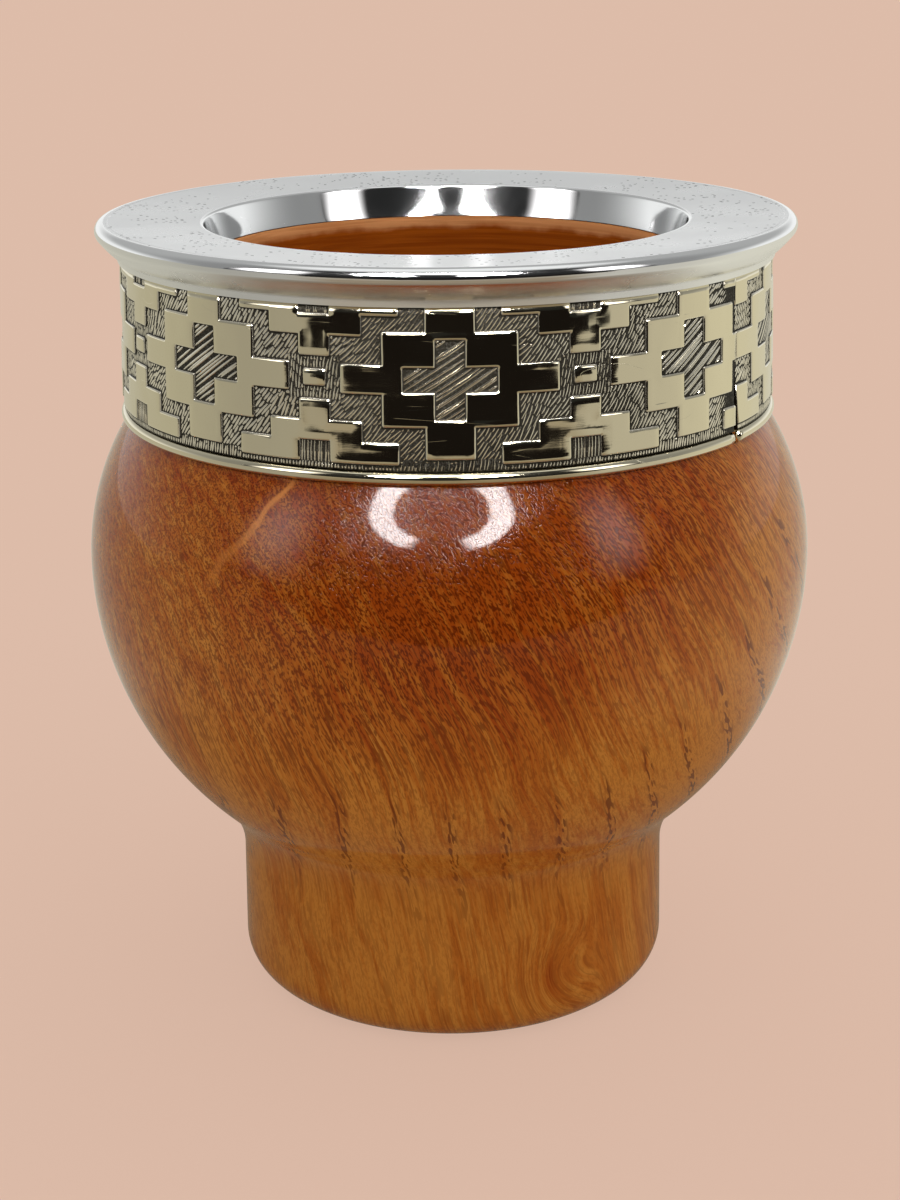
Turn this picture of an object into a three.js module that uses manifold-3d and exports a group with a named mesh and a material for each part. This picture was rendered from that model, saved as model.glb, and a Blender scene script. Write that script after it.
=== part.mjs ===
// Wooden mate cup: a turned hardwood bowl on a foot, with a cast aluminium rim and an engraved metal band.
// Millimetres, +Z up. The origin is the centre of the foot's flat face, and the front of the cup faces -Y.
import * as THREE from "three";
import { mergeVertices } from "three/addons/utils/BufferGeometryUtils.js";
import Module from "manifold-3d";

const wasm = await Module();
wasm.setup();

// Overall sizes
const HEIGHT = 88;
const BELLY_RADIUS = 40.1;
const BELLY_HEIGHT = 50.6; // height of the widest point

// Foot and waist
const FOOT_RADIUS = 24.55;
const FOOT_EDGE_RADIUS = 4.35; // rounding between the flat face and the side of the foot
const WAIST_RADIUS = 24.4;
const WAIST_HEIGHT = 15.3; // where the waist starts to sweep out into the bowl
const WAIST_FILLET = 10.1;

// Hollow
const WALL = 11; // of the bowl, measured square to its surface
const MOUTH_LEDGE = 0.5; // how far the wood stands inside the metal throat
const LEDGE_CHAMFER = 0.7;

// Cast rim
const RIM_RADIUS = 37.7;
const RIM_HEIGHT = 4;
const RIM_EDGE_RADIUS = 0.93;
const RIM_EDGE_UNDER = 30; // degrees that the rounding runs on below the widest point
const FLANGE_DISH = 0.5; // how far the flange falls from its edge to the mouth
const MOUTH_RADIUS = 26;
const MOUTH_EDGE_RADIUS = 0.35; // rounding between flange and throat
const THROAT_RADIUS = 25.4; // lower end of the throat
const THROAT_HOLLOW = 0.12; // how far the throat's wall is hollowed behind a straight line
const LIP_HEIGHT = 0.6; // plain lip above the band
const LIP_PROUD = 0.25; // of the lip over the band
const COVE_ELBOW_OUT = 0.75; // elbow of the cove, out from the lip
const COVE_ELBOW_UP = 0.4; // elbow of the cove, up from the lip
const SOCKET_DEPTH = 1.9; // groove in the underside that drops over the tenon of the body
const THROAT_WALL = 2.6;
const SKIRT_WALL = 2;

// Engraved band and the bead under it
const BAND_RADIUS = 35.25; // over the polished plates, at the upper edge
const BAND_FLARE = 0.5; // how much wider the band is at its lower edge
const BAND_HEIGHT = 15.75;
const SHEET = 0.5; // sheet left under the engraved ground
const RELIEF = 0.25; // of the polished plates over the ground
const BEAD_HEIGHT = 1.35;
const BEAD_PROUD = 0.1; // of the bead over the band's lower edge
const BEAD_LEDGE = 0.45; // ledge of the bowl under the bead

// Seam of the band: an open butt joint on the front right
const SEAM_ANGLE = 55; // degrees to the right of the front
const SEAM_GAP_TOP = 0.3;
const SEAM_GAP_BOTTOM = 1;

// Fits
const GLUE = 0.15; // adhesive between band and neck
const RIM_GLUE = 0.3; // adhesive between tenon and rim
const SEAT_GAP = 0.08; // between pieces that seat on each other

// Stepped-cross ornament: half widths in degrees round the band, half heights in mm from its centre line
const ORNAMENT_DROP = 6.9; // centre line below the band's upper edge
const FRONT_MOTIF = 0.4; // angle of the middle motif in front
const FRONT_PITCH = 43.2;
const BACK_STEPS = 6; // motifs from the seam round the back to the front three, spaced evenly
const SEAM_TO_MOTIF = 17.5;
const CROSS_ARM = { width: 3.85, height: 7.65 };
const CROSS_BODY = { width: 10.6, height: 4.55 };
const CROSS_SIDE = { width: 17.2, height: 1.4 };
const PLUS_ARM = { width: 2.4, height: 3.87 }; // grooved plus sunk into the cross
const PLUS_SIDE = { width: 7.4, height: 1.22 };
const STAIR_OUTER = { width: 13.6, from: 6.1, to: 8.2, window: 2.6 }; // stairs between two crosses
const STAIR_MIDDLE = { width: 7.8, from: 4.1, to: 6.1, window: 0 };
const STAIR_INNER = { width: 2.6, from: 2.1, to: 4.1, window: 0 };
const STUD = { width: 1.9, height: 0.78 }; // small square between two crosses

// Fineness of the round forms
const SEGMENTS = 60;
const WIDEST_COLUMN = 5; // degrees
const CLOSEST_LINES = 0.05; // grid lines nearer than this become one
const SAME_POINT = 0.005; // outline points nearer than this are one
const CUTTER_MARGIN = 1;

// Heights and radii that follow from the sizes above
const RAD = Math.PI / 180;
const RIM_Z = HEIGHT - RIM_HEIGHT;
const BAND_TOP_Z = RIM_Z - SEAT_GAP;
const BAND_BOTTOM_Z = BAND_TOP_Z - BAND_HEIGHT;
const BEAD_TOP_Z = BAND_BOTTOM_Z - SEAT_GAP;
const BEAD_BOTTOM_Z = BEAD_TOP_Z - BEAD_HEIGHT;
const LEDGE_Z = BEAD_BOTTOM_Z - SEAT_GAP;
const ORNAMENT_Z = BAND_TOP_Z - ORNAMENT_DROP;

// Radii at a height, from the polished plates inwards: the band is a slight cone.
const plateRadius = (z) => BAND_RADIUS + (BAND_FLARE * (BAND_TOP_Z - z)) / BAND_HEIGHT;
const bandInnerRadius = (z) => plateRadius(z) - RELIEF - SHEET;
const glueRadius = (z) => bandInnerRadius(z) - SEAT_GAP;
const neckRadius = (z) => glueRadius(z) - GLUE - SEAT_GAP;

const BEAD_RADIUS = BAND_RADIUS + BAND_FLARE + BEAD_PROUD;
const LEDGE_RADIUS = neckRadius(LEDGE_Z) + BEAD_LEDGE;
const LIP_RADIUS = BAND_RADIUS + LIP_PROUD;
const SOCKET_INNER = THROAT_RADIUS + THROAT_WALL;
const SOCKET_OUTER = LIP_RADIUS - SKIRT_WALL;
const SOCKET_ROOF_Z = RIM_Z + SOCKET_DEPTH;
const TENON_Z = SOCKET_ROOF_Z - RIM_GLUE - 2 * SEAT_GAP;

// Outline helpers: a point is (radius, height), an angle is in degrees from the outward direction.
const at = (radius, height) => new THREE.Vector2(radius, height);
const angleOf = (from, to) => Math.atan2(to.y - from.y, to.x - from.x) / RAD;

function arc(centre, radius, from, to, steps) {
  const curve = new THREE.EllipseCurve(centre.x, centre.y, radius, radius, from * RAD, to * RAD, to < from);
  return curve.getPoints(steps);
}

// Turns an outline about Z. Where two stretches of it share a point, the point counts once.
function turned(outline) {
  const points = outline.filter((point, i) => {
    const next = outline[i + 1];
    return !next || point.distanceTo(next) > SAME_POINT;
  });
  return new THREE.LatheGeometry(points, SEGMENTS).rotateX(Math.PI / 2);
}

const turnedRing = (outline) => turned([...outline, outline[0].clone()]);

// Closed solids for cutting, and back to a geometry
function toSolid(geometry) {
  const bare = geometry.clone();
  bare.deleteAttribute("normal");
  bare.deleteAttribute("uv");
  const welded = mergeVertices(bare);
  const vertProperties = new Float32Array(welded.attributes.position.array);
  const triVerts = new Uint32Array(welded.index.array);
  return new wasm.Manifold(new wasm.Mesh({ numProp: 3, vertProperties, triVerts }));
}

function toGeometry(solid) {
  const mesh = solid.getMesh();
  const geometry = new THREE.BufferGeometry();
  geometry.setAttribute("position", new THREE.BufferAttribute(mesh.vertProperties, 3));
  geometry.setIndex(new THREE.BufferAttribute(mesh.triVerts, 1));
  geometry.computeVertexNormals();
  return geometry;
}

// Bowl outline: two arcs that meet at the widest point, and a waist fillet that touches the lower one
const filletCentre = at(WAIST_RADIUS + WAIST_FILLET, WAIST_HEIGHT);
const waistReach = filletCentre.x - BELLY_RADIUS;
const waistRise = BELLY_HEIGHT - WAIST_HEIGHT;
const LOWER_ARC = (waistReach ** 2 + waistRise ** 2 - WAIST_FILLET ** 2) / (2 * (WAIST_FILLET - waistReach));
const lowerCentre = at(BELLY_RADIUS - LOWER_ARC, BELLY_HEIGHT);
const ledgeRise = LEDGE_Z - BELLY_HEIGHT;
const ledgeInset = BELLY_RADIUS - LEDGE_RADIUS;
const UPPER_ARC = (ledgeRise ** 2 + ledgeInset ** 2) / (2 * ledgeInset);
const upperCentre = at(BELLY_RADIUS - UPPER_ARC, BELLY_HEIGHT);

// Turned body: foot, waist, bowl, ledge, neck, shoulder with a tenon for the rim, and the hollow
function turnedBody() {
  const footCentre = at(FOOT_RADIUS - FOOT_EDGE_RADIUS, FOOT_EDGE_RADIUS);
  const shoulderZ = RIM_Z - SEAT_GAP;
  const tenonOuter = SOCKET_OUTER - SEAT_GAP;
  const tenonInner = SOCKET_INNER + SEAT_GAP;
  const boreRadius = THROAT_RADIUS - MOUTH_LEDGE;
  const hollowUpper = UPPER_ARC - WALL;
  const hollowLower = LOWER_ARC - WALL;
  const boreEnd = Math.acos((boreRadius - upperCentre.x) / hollowUpper) / RAD;
  const floorEnd = -Math.acos(Math.max(0, -lowerCentre.x) / hollowLower) / RAD;
  const floorZ = BELLY_HEIGHT + hollowLower * Math.sin(floorEnd * RAD);
  return turned([
    at(0, 0),
    ...arc(footCentre, FOOT_EDGE_RADIUS, -90, 0, 4),
    ...arc(filletCentre, WAIST_FILLET, 180, angleOf(filletCentre, lowerCentre), 4),
    ...arc(lowerCentre, LOWER_ARC, angleOf(lowerCentre, filletCentre), 0, 7),
    ...arc(upperCentre, UPPER_ARC, 0, angleOf(upperCentre, at(LEDGE_RADIUS, LEDGE_Z)), 5),
    at(neckRadius(LEDGE_Z), LEDGE_Z),
    at(neckRadius(shoulderZ), shoulderZ),
    at(tenonOuter, shoulderZ),
    at(tenonOuter, TENON_Z),
    at(tenonInner, TENON_Z),
    at(tenonInner, shoulderZ),
    at(boreRadius + LEDGE_CHAMFER / 2, shoulderZ),
    at(boreRadius, shoulderZ - LEDGE_CHAMFER),
    ...arc(upperCentre, hollowUpper, boreEnd, 0, 3),
    ...arc(lowerCentre, hollowLower, 0, floorEnd, 6),
    at(0, floorZ),
  ]);
}

// Cast rim: dished flange, rounded edge, cove, plain lip, socket in the underside, hollowed throat
function castRim() {
  const edgeCentre = at(RIM_RADIUS - RIM_EDGE_RADIUS, HEIGHT - RIM_EDGE_RADIUS);
  const edge = arc(edgeCentre, RIM_EDGE_RADIUS, -RIM_EDGE_UNDER, 90, 5);
  const lipTop = at(LIP_RADIUS, RIM_Z + LIP_HEIGHT);
  const elbow = at(LIP_RADIUS + COVE_ELBOW_OUT, lipTop.y + COVE_ELBOW_UP);
  const cove = new THREE.QuadraticBezierCurve(lipTop, elbow, edge[0]);
  const creaseZ = HEIGHT - FLANGE_DISH - MOUTH_EDGE_RADIUS;
  const crease = arc(at(MOUTH_RADIUS + MOUTH_EDGE_RADIUS, creaseZ), MOUTH_EDGE_RADIUS, 90, 180, 3);
  const throatFoot = at(THROAT_RADIUS, RIM_Z);
  const throatMiddle = at((MOUTH_RADIUS + THROAT_RADIUS) / 2 + 2 * THROAT_HOLLOW, (creaseZ + RIM_Z) / 2);
  const throat = new THREE.QuadraticBezierCurve(crease.at(-1), throatMiddle, throatFoot);
  return turnedRing([
    at(SOCKET_INNER, RIM_Z),
    at(SOCKET_INNER, SOCKET_ROOF_Z),
    at(SOCKET_OUTER, SOCKET_ROOF_Z),
    at(SOCKET_OUTER, RIM_Z),
    at(LIP_RADIUS, RIM_Z),
    ...cove.getPoints(4),
    ...edge,
    ...crease,
    ...throat.getPoints(3),
  ]);
}

// Ornament: motifs in order of their angle, from the seam once round to the seam again
function motifs() {
  const first = SEAM_ANGLE + SEAM_TO_MOTIF;
  const middle = 360 + FRONT_MOTIF;
  const backPitch = (middle - FRONT_PITCH - first) / BACK_STEPS;
  const centres = [];
  for (let k = 0; k < BACK_STEPS; k++) centres.push(first + k * backPitch);
  for (const side of [-1, 0, 1]) centres.push(middle + side * FRONT_PITCH);
  return centres.map((centre, k) => ({
    centre,
    left: (centre - (centres[k - 1] ?? centre - backPitch)) / 2,
    right: ((centres[k + 1] ?? centre + FRONT_PITCH) - centre) / 2,
  }));
}

const MOTIFS = motifs();
const CROSS = [CROSS_ARM, CROSS_BODY, CROSS_SIDE];
const PLUS = [PLUS_ARM, PLUS_SIDE];
const STAIRS = [STAIR_OUTER, STAIR_MIDDLE, STAIR_INNER];

// Whether a polished plate stands at a place of the band; elsewhere the ground is cut down and hatched.
function isPlate(angle, z) {
  const motif = MOTIFS.find(({ centre, right }) => angle < centre + right) ?? MOTIFS.at(-1);
  const across = Math.abs(angle - motif.centre);
  const between = Math.abs((angle < motif.centre ? motif.left : motif.right) - across);
  const up = Math.abs(z - ORNAMENT_Z);
  const covers = ({ width, height }, distance) => distance < width && up < height;
  if (PLUS.some((bar) => covers(bar, across))) return false;
  if (CROSS.some((bar) => covers(bar, across)) || covers(STUD, between)) return true;
  return STAIRS.some((s) => between < s.width && between > s.window && up > s.from && up < s.to);
}

// Grid lines between two ends: sorted, none too close, and none further apart than the widest allowed
function gridLines(values, low, high, widest) {
  const inside = values.filter((v) => v > low + CLOSEST_LINES && v < high - CLOSEST_LINES);
  const lines = [low];
  for (const value of [...inside.sort((a, b) => a - b), high]) {
    const last = lines.at(-1);
    if (value - last < CLOSEST_LINES) continue;
    const steps = Math.ceil((value - last) / widest);
    for (let k = 1; k <= steps; k++) lines.push(last + ((value - last) * k) / steps);
  }
  return lines;
}

function bandColumns() {
  const fromCentre = [...CROSS, ...PLUS].map(({ width }) => width);
  const fromBetween = [STUD, ...STAIRS].flatMap(({ width, window = 0 }) => [width, window]);
  const angles = MOTIFS.flatMap(({ centre, left, right }) => [
    ...fromCentre.flatMap((width) => [centre - width, centre + width]),
    ...fromBetween.flatMap((width) => [centre - left + width, centre + right - width]),
  ]);
  return gridLines(angles, SEAM_ANGLE, SEAM_ANGLE + 360, WIDEST_COLUMN);
}

function bandRows() {
  const halves = [...CROSS, ...PLUS, STUD].map(({ height }) => height);
  halves.push(...STAIRS.flatMap(({ from, to }) => [from, to]));
  const heights = halves.flatMap((half) => [ORNAMENT_Z - half, ORNAMENT_Z + half]);
  return gridLines(heights, BAND_BOTTOM_Z, BAND_TOP_Z, BAND_HEIGHT);
}

// The wedge of air that the seam leaves open in the band and its bead
function seamWedge() {
  const top = BAND_TOP_Z + CUTTER_MARGIN;
  const bottom = BEAD_BOTTOM_Z - CUTTER_MARGIN;
  const outline = new THREE.Shape([
    at(-SEAM_GAP_BOTTOM / 2, bottom),
    at(SEAM_GAP_BOTTOM / 2, bottom),
    at(SEAM_GAP_TOP / 2, top),
    at(-SEAM_GAP_TOP / 2, top),
  ]);
  const reach = BEAD_RADIUS + CUTTER_MARGIN;
  const wedge = new THREE.ExtrudeGeometry(outline, { depth: reach, bevelEnabled: false });
  return wedge.rotateX(Math.PI / 2).rotateZ(SEAM_ANGLE * RAD);
}

// Fills the strip between two column lines, whose corners may stand at different heights on either side.
function fillStrip(left, right, triangles) {
  let [l, r] = [0, 0];
  while (l < left.length - 1 || r < right.length - 1) {
    const climbLeft = r === right.length - 1 || (l < left.length - 1 && left[l + 1].z <= right[r + 1].z);
    triangles.push(left[l], right[r], climbLeft ? left[l + 1] : right[r + 1]);
    if (climbLeft) l++;
    else r++;
  }
}

// Engraved band: columns bent round the neck, each stepping out over its plates and back to the ground
function engravedBand() {
  const columns = bandColumns();
  const rows = bandRows();
  const count = columns.length - 1;
  const top = rows.length - 1;
  const triangles = [];
  const corner = (line, radius, z) => {
    const angle = columns[line % count] * RAD;
    return new THREE.Vector3(radius * Math.sin(angle), -radius * Math.cos(angle), z);
  };
  const onBack = (line, row) => corner(line, bandInnerRadius(rows[row]), rows[row]);
  const onFace = (line, row, plate) => corner(line, plateRadius(rows[row]) - (plate ? 0 : RELIEF), rows[row]);
  const strip = (left, right) => fillStrip(left, right, triangles);

  const plates = columns.slice(1).map((right, i) => (
    rows.slice(1).map((high, j) => isPlate((columns[i] + right) / 2, (rows[j] + high) / 2))
  ));
  const steps = plates.map((column) => (
    rows.map((_, j) => j).filter((j) => j === 0 || j === top || column[j] !== column[j - 1])
  ));
  const stepsAt = (line) => {
    const beside = [...steps[(line + count - 1) % count], ...steps[line % count]];
    return [...new Set(beside)].sort((a, b) => a - b);
  };

  for (let i = 0; i < count; i++) {
    const next = (i + 1) % count;
    steps[i].forEach((from, k) => {
      const below = from > 0 && plates[i][from - 1];
      const above = from < top && plates[i][from];
      if (below !== above) {
        strip(
          [onFace(i, from, below), onFace(i, from, above)],
          [onFace(i + 1, from, below), onFace(i + 1, from, above)],
        );
      }
      if (from === top) return;
      const inRun = (row) => row >= from && row <= steps[i][k + 1];
      strip(
        stepsAt(i).filter(inRun).map((row) => onFace(i, row, above)),
        stepsAt(i + 1).filter(inRun).map((row) => onFace(i + 1, row, above)),
      );
    });
    const beside = stepsAt(i + 1);
    beside.slice(0, -1).forEach((from, k) => {
      const [here, there] = [plates[i][from], plates[next][from]];
      if (here === there) return;
      const to = beside[k + 1];
      strip(
        [onFace(i + 1, from, here), onFace(i + 1, to, here)],
        [onFace(i + 1, from, there), onFace(i + 1, to, there)],
      );
    });
    strip([onBack(i, 0), onFace(i, 0, false)], [onBack(i + 1, 0), onFace(i + 1, 0, false)]);
    strip([onBack(i + 1, 0), onBack(i + 1, top)], [onBack(i, 0), onBack(i, top)]);
    strip([onFace(i, top, false), onBack(i, top)], [onFace(i + 1, top, false), onBack(i + 1, top)]);
  }
  const grid = new THREE.BufferGeometry().setFromPoints(triangles);
  return toGeometry(toSolid(grid).subtract(toSolid(seamWedge())));
}

// Half-round bead under the band, open at the seam
function lowerBead() {
  const inner = neckRadius(LEDGE_Z) + SEAT_GAP;
  const half = BEAD_HEIGHT / 2;
  const ring = turnedRing([
    at(inner, BEAD_BOTTOM_Z),
    ...arc(at(BEAD_RADIUS - half, BEAD_BOTTOM_Z + half), half, -90, 90, 4),
    at(inner, BEAD_TOP_Z),
  ]);
  return toGeometry(toSolid(ring).subtract(toSolid(seamWedge())));
}

// Adhesive over the tenon, in the socket of the rim
function rimAdhesive() {
  const inner = SOCKET_INNER + SEAT_GAP;
  const outer = SOCKET_OUTER - SEAT_GAP;
  const bottom = TENON_Z + SEAT_GAP;
  const top = bottom + RIM_GLUE;
  return turnedRing([at(inner, bottom), at(outer, bottom), at(outer, top), at(inner, top)]);
}

// Adhesive between the neck and the band
function bandAdhesive() {
  return turnedRing([
    at(glueRadius(BAND_BOTTOM_Z) - GLUE, BAND_BOTTOM_Z),
    at(glueRadius(BAND_BOTTOM_Z), BAND_BOTTOM_Z),
    at(glueRadius(BAND_TOP_Z), BAND_TOP_Z),
    at(glueRadius(BAND_TOP_Z) - GLUE, BAND_TOP_Z),
  ]);
}

// The assembly
const cup = new THREE.Group();

function add(name, geometry, finish) {
  const mesh = new THREE.Mesh(geometry, new THREE.MeshStandardMaterial(finish));
  mesh.name = name;
  cup.add(mesh);
}

const WOOD = { color: 0xb0622b, roughness: 0.3, metalness: 0 };
const ALUMINIUM = { color: 0xd0d2d4, roughness: 0.32, metalness: 1 };
const NICKEL_SILVER = { color: 0xb8ae98, roughness: 0.25, metalness: 1 };
const ADHESIVE = { color: 0xd8cfae, roughness: 0.5, metalness: 0 };

add("turned_body", turnedBody(), WOOD);
add("rim_adhesive", rimAdhesive(), ADHESIVE);
add("cast_rim", castRim(), ALUMINIUM);
add("band_adhesive", bandAdhesive(), ADHESIVE);
add("engraved_band", engravedBand(), NICKEL_SILVER);
add("lower_bead", lowerBead(), NICKEL_SILVER);

export default cup;
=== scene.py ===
"""Wooden mate cup: the looks of its turned body, cast rim and engraved band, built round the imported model.

Sizes are in millimetres and turn into metres where a mesh is made. The front of the cup faces -Y.
"""

import logging
import math
from dataclasses import dataclass, field
from enum import Enum
from functools import cached_property, partial, reduce

import bmesh
import bpy
import numpy as np
from mathutils import Matrix, Vector


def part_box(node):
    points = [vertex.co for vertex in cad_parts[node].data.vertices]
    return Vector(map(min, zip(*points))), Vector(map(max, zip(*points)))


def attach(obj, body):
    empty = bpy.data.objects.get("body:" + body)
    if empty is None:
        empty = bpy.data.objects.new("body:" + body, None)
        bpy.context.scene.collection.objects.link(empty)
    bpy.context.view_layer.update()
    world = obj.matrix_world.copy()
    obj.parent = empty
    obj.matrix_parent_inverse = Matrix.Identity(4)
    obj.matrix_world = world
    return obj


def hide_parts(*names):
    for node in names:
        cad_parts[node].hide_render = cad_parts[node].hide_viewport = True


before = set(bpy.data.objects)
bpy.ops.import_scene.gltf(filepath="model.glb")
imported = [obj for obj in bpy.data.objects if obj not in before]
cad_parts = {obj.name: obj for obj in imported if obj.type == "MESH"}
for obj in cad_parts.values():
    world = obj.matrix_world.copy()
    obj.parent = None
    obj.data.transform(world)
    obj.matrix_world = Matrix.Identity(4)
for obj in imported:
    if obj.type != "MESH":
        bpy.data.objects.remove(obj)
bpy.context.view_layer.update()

MM = 0.001
FULL_TURN = 360.0
LOG = logging.getLogger("mate_cup")

Point = tuple[float, float]
Triple = tuple[float, float, float]
Colour = Triple
Socket = bpy.types.NodeSocket
Node = bpy.types.Node
Tree = bpy.types.NodeTree
Material = bpy.types.Material
Feed = Socket | float | int | str | bool | tuple[float, ...]

BLACK: Colour = (0.0, 0.0, 0.0)


class Slot(Enum):
    """Material slots of the record that the pieces take their finish from."""

    WOOD = "varnished_wood"
    ALUMINIUM = "cast_aluminium"
    NICKEL_SILVER = "nickel_silver"
    ADHESIVE = "adhesive"


class Mask(Enum):
    """Names of the mesh attributes that tell a finish where one treatment gives way to another."""

    BARE = "bare"
    SATIN = "satin"
    POLISH = "polish"
    GLOW = "glow"


def node_box(node: str) -> tuple[Vector, Vector]:
    """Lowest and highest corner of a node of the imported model, in millimetres."""
    low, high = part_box(node)
    return low / MM, high / MM


def arc(centre: Point, radius: float, start: float, end: float, steps: int) -> list[Point]:
    """Points of an arc in the plane of an outline, with start and end in degrees from the outward side."""
    angles = np.radians(np.linspace(start, end, steps + 1))
    return [(centre[0] + radius * math.cos(a), centre[1] + radius * math.sin(a)) for a in angles]


def bezier(first: Point, elbow: Point, last: Point, steps: int) -> list[Point]:
    """Points of a quadratic curve that leaves first towards elbow and reaches last from it.

    Args:
        first: start of the curve.
        elbow: point that bends it.
        last: end of the curve.
        steps: number of steps.

    Returns:
        The points from first to last, both included.
    """
    share = np.linspace(0, 1, steps + 1)
    weights = ((1 - share) ** 2, 2 * share * (1 - share), share**2)
    curve = sum(np.outer(weight, point) for weight, point in zip(weights, (first, elbow, last)))
    return [tuple(point) for point in curve]


def angle_of(start: Point, end: Point) -> float:
    """Direction from start to end, in degrees from the outward direction."""
    return math.degrees(math.atan2(end[1] - start[1], end[0] - start[0]))


class Graph:
    """One node tree under construction: adds nodes, sets or links their inputs and hands back sockets."""

    def __init__(self, tree: Tree) -> None:
        """Takes the tree to build in."""
        self.tree = tree

    def feed(self, socket: Socket, value: Feed) -> None:
        """Links a socket to an output, or sets its own value.

        Args:
            socket: input to feed.
            value: output socket, or a constant.
        """
        if isinstance(value, Socket):
            self.tree.links.new(value, socket)
        else:
            socket.default_value = value

    def node(self, kind: str, inputs: dict[str | int, Feed] | None = None, **settings: object) -> Node:
        """Adds one node.

        Args:
            kind: Blender's name for the type of node.
            inputs: what to feed its inputs, by name or place.
            **settings: properties of the node, set before its inputs.

        Returns:
            The new node.
        """
        node = self.tree.nodes.new(kind)
        for name, value in settings.items():
            setattr(node, name, value)
        for key, value in (inputs or {}).items():
            self.feed(node.inputs[key], value)
        return node

    def group(self, tree: Tree, inputs: dict[str, Feed]) -> Node:
        """Places a shader node group and feeds its inputs by name."""
        return self.node("ShaderNodeGroup", inputs, node_tree=tree)

    def math(self, operation: str, *values: Feed) -> Socket:
        """Result of a Math node."""
        return self.node("ShaderNodeMath", dict(enumerate(values)), operation=operation).outputs[0]

    def plus(self, *values: Feed) -> Socket:
        """Sum of two or more numbers."""
        return reduce(partial(self.math, "ADD"), values)

    def times(self, *values: Feed) -> Socket:
        """Product of two or more numbers."""
        return reduce(partial(self.math, "MULTIPLY"), values)

    def minus(self, first: Feed, second: Feed) -> Socket:
        """Difference of two numbers."""
        return self.math("SUBTRACT", first, second)

    def over(self, first: Feed, second: Feed) -> Socket:
        """Quotient of two numbers."""
        return self.math("DIVIDE", first, second)

    def vector(self, operation: str, *values: Feed) -> Socket:
        """Vector that a Vector Math node makes of vectors."""
        node = self.node("ShaderNodeVectorMath", dict(enumerate(values)), operation=operation)
        return node.outputs["Vector"]

    def measure(self, operation: str, *values: Feed) -> Socket:
        """Number that a Vector Math node makes of vectors."""
        node = self.node("ShaderNodeVectorMath", dict(enumerate(values)), operation=operation)
        return node.outputs["Value"]

    def scaled(self, vector: Feed, factor: Feed) -> Socket:
        """A vector multiplied by a number."""
        node = self.node("ShaderNodeVectorMath", {0: vector, "Scale": factor}, operation="SCALE")
        return node.outputs["Vector"]

    def parts(self, vector: Socket) -> tuple[Socket, Socket, Socket]:
        """The three numbers of a vector."""
        return tuple(self.node("ShaderNodeSeparateXYZ", {0: vector}).outputs)

    def joined(self, x: Feed, y: Feed, z: Feed) -> Socket:
        """A vector made of three numbers."""
        return self.node("ShaderNodeCombineXYZ", {0: x, 1: y, 2: z}).outputs[0]

    def remap(
        self, value: Socket, low: float, high: float, to_low: float = 0.0, to_high: float = 1.0
    ) -> Socket:
        """Smooth step of a value from one range to another.

        Args:
            value: number to map.
            low: where the step starts, which may be above high.
            high: where it ends.
            to_low: result at low.
            to_high: result at high.

        Returns:
            The mapped value, held between the two results.
        """
        if low > high:
            low, high, to_low, to_high = high, low, to_high, to_low
        places = {"Value": value, "From Min": low, "From Max": high, "To Min": to_low, "To Max": to_high}
        return self.node("ShaderNodeMapRange", places, interpolation_type="SMOOTHSTEP").outputs[0]

    def mix(self, factor: Feed, first: Feed, second: Feed) -> Socket:
        """Mix of two colours.

        Args:
            factor: share of the second.
            first: colour at factor 0.
            second: colour at factor 1.

        Returns:
            The mixed colour.
        """
        inputs = {0: factor}
        for place, colour in ((6, first), (7, second)):
            inputs[place] = colour if isinstance(colour, Socket) else (*colour, 1.0)
        return self.node("ShaderNodeMix", inputs, data_type="RGBA").outputs[2]

    def noise(self, vector: Socket, scale: Feed, detail: Feed = 2.0, roughness: float = 0.5) -> Socket:
        """Value around 0.5 of a noise texture, with scale bumps to a unit of length and finer layers."""
        places = {"Vector": vector, "Scale": scale, "Detail": detail, "Roughness": roughness}
        return self.node("ShaderNodeTexNoise", places).outputs[0]

    @cached_property
    def place(self) -> Socket:
        """Object coordinates in millimetres."""
        return self.scaled(self.node("ShaderNodeTexCoord").outputs["Object"], 1 / MM)


def new_group(name: str, kind: str, inputs: dict[str, str], outputs: dict[str, str]) -> tuple[Graph, Node]:
    """Starts a node group.

    Args:
        name: name of the group.
        kind: ShaderNodeTree or GeometryNodeTree.
        inputs: kind of each input socket, by name.
        outputs: kind of each output socket, by name.

    Returns:
        The graph, and its input node.
    """
    tree = bpy.data.node_groups.new(name, kind)
    for direction, sockets in (("INPUT", inputs), ("OUTPUT", outputs)):
        for label, form in sockets.items():
            tree.interface.new_socket(name=label, in_out=direction, socket_type="NodeSocket" + form)
    graph = Graph(tree)
    return graph, graph.node("NodeGroupInput")


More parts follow.
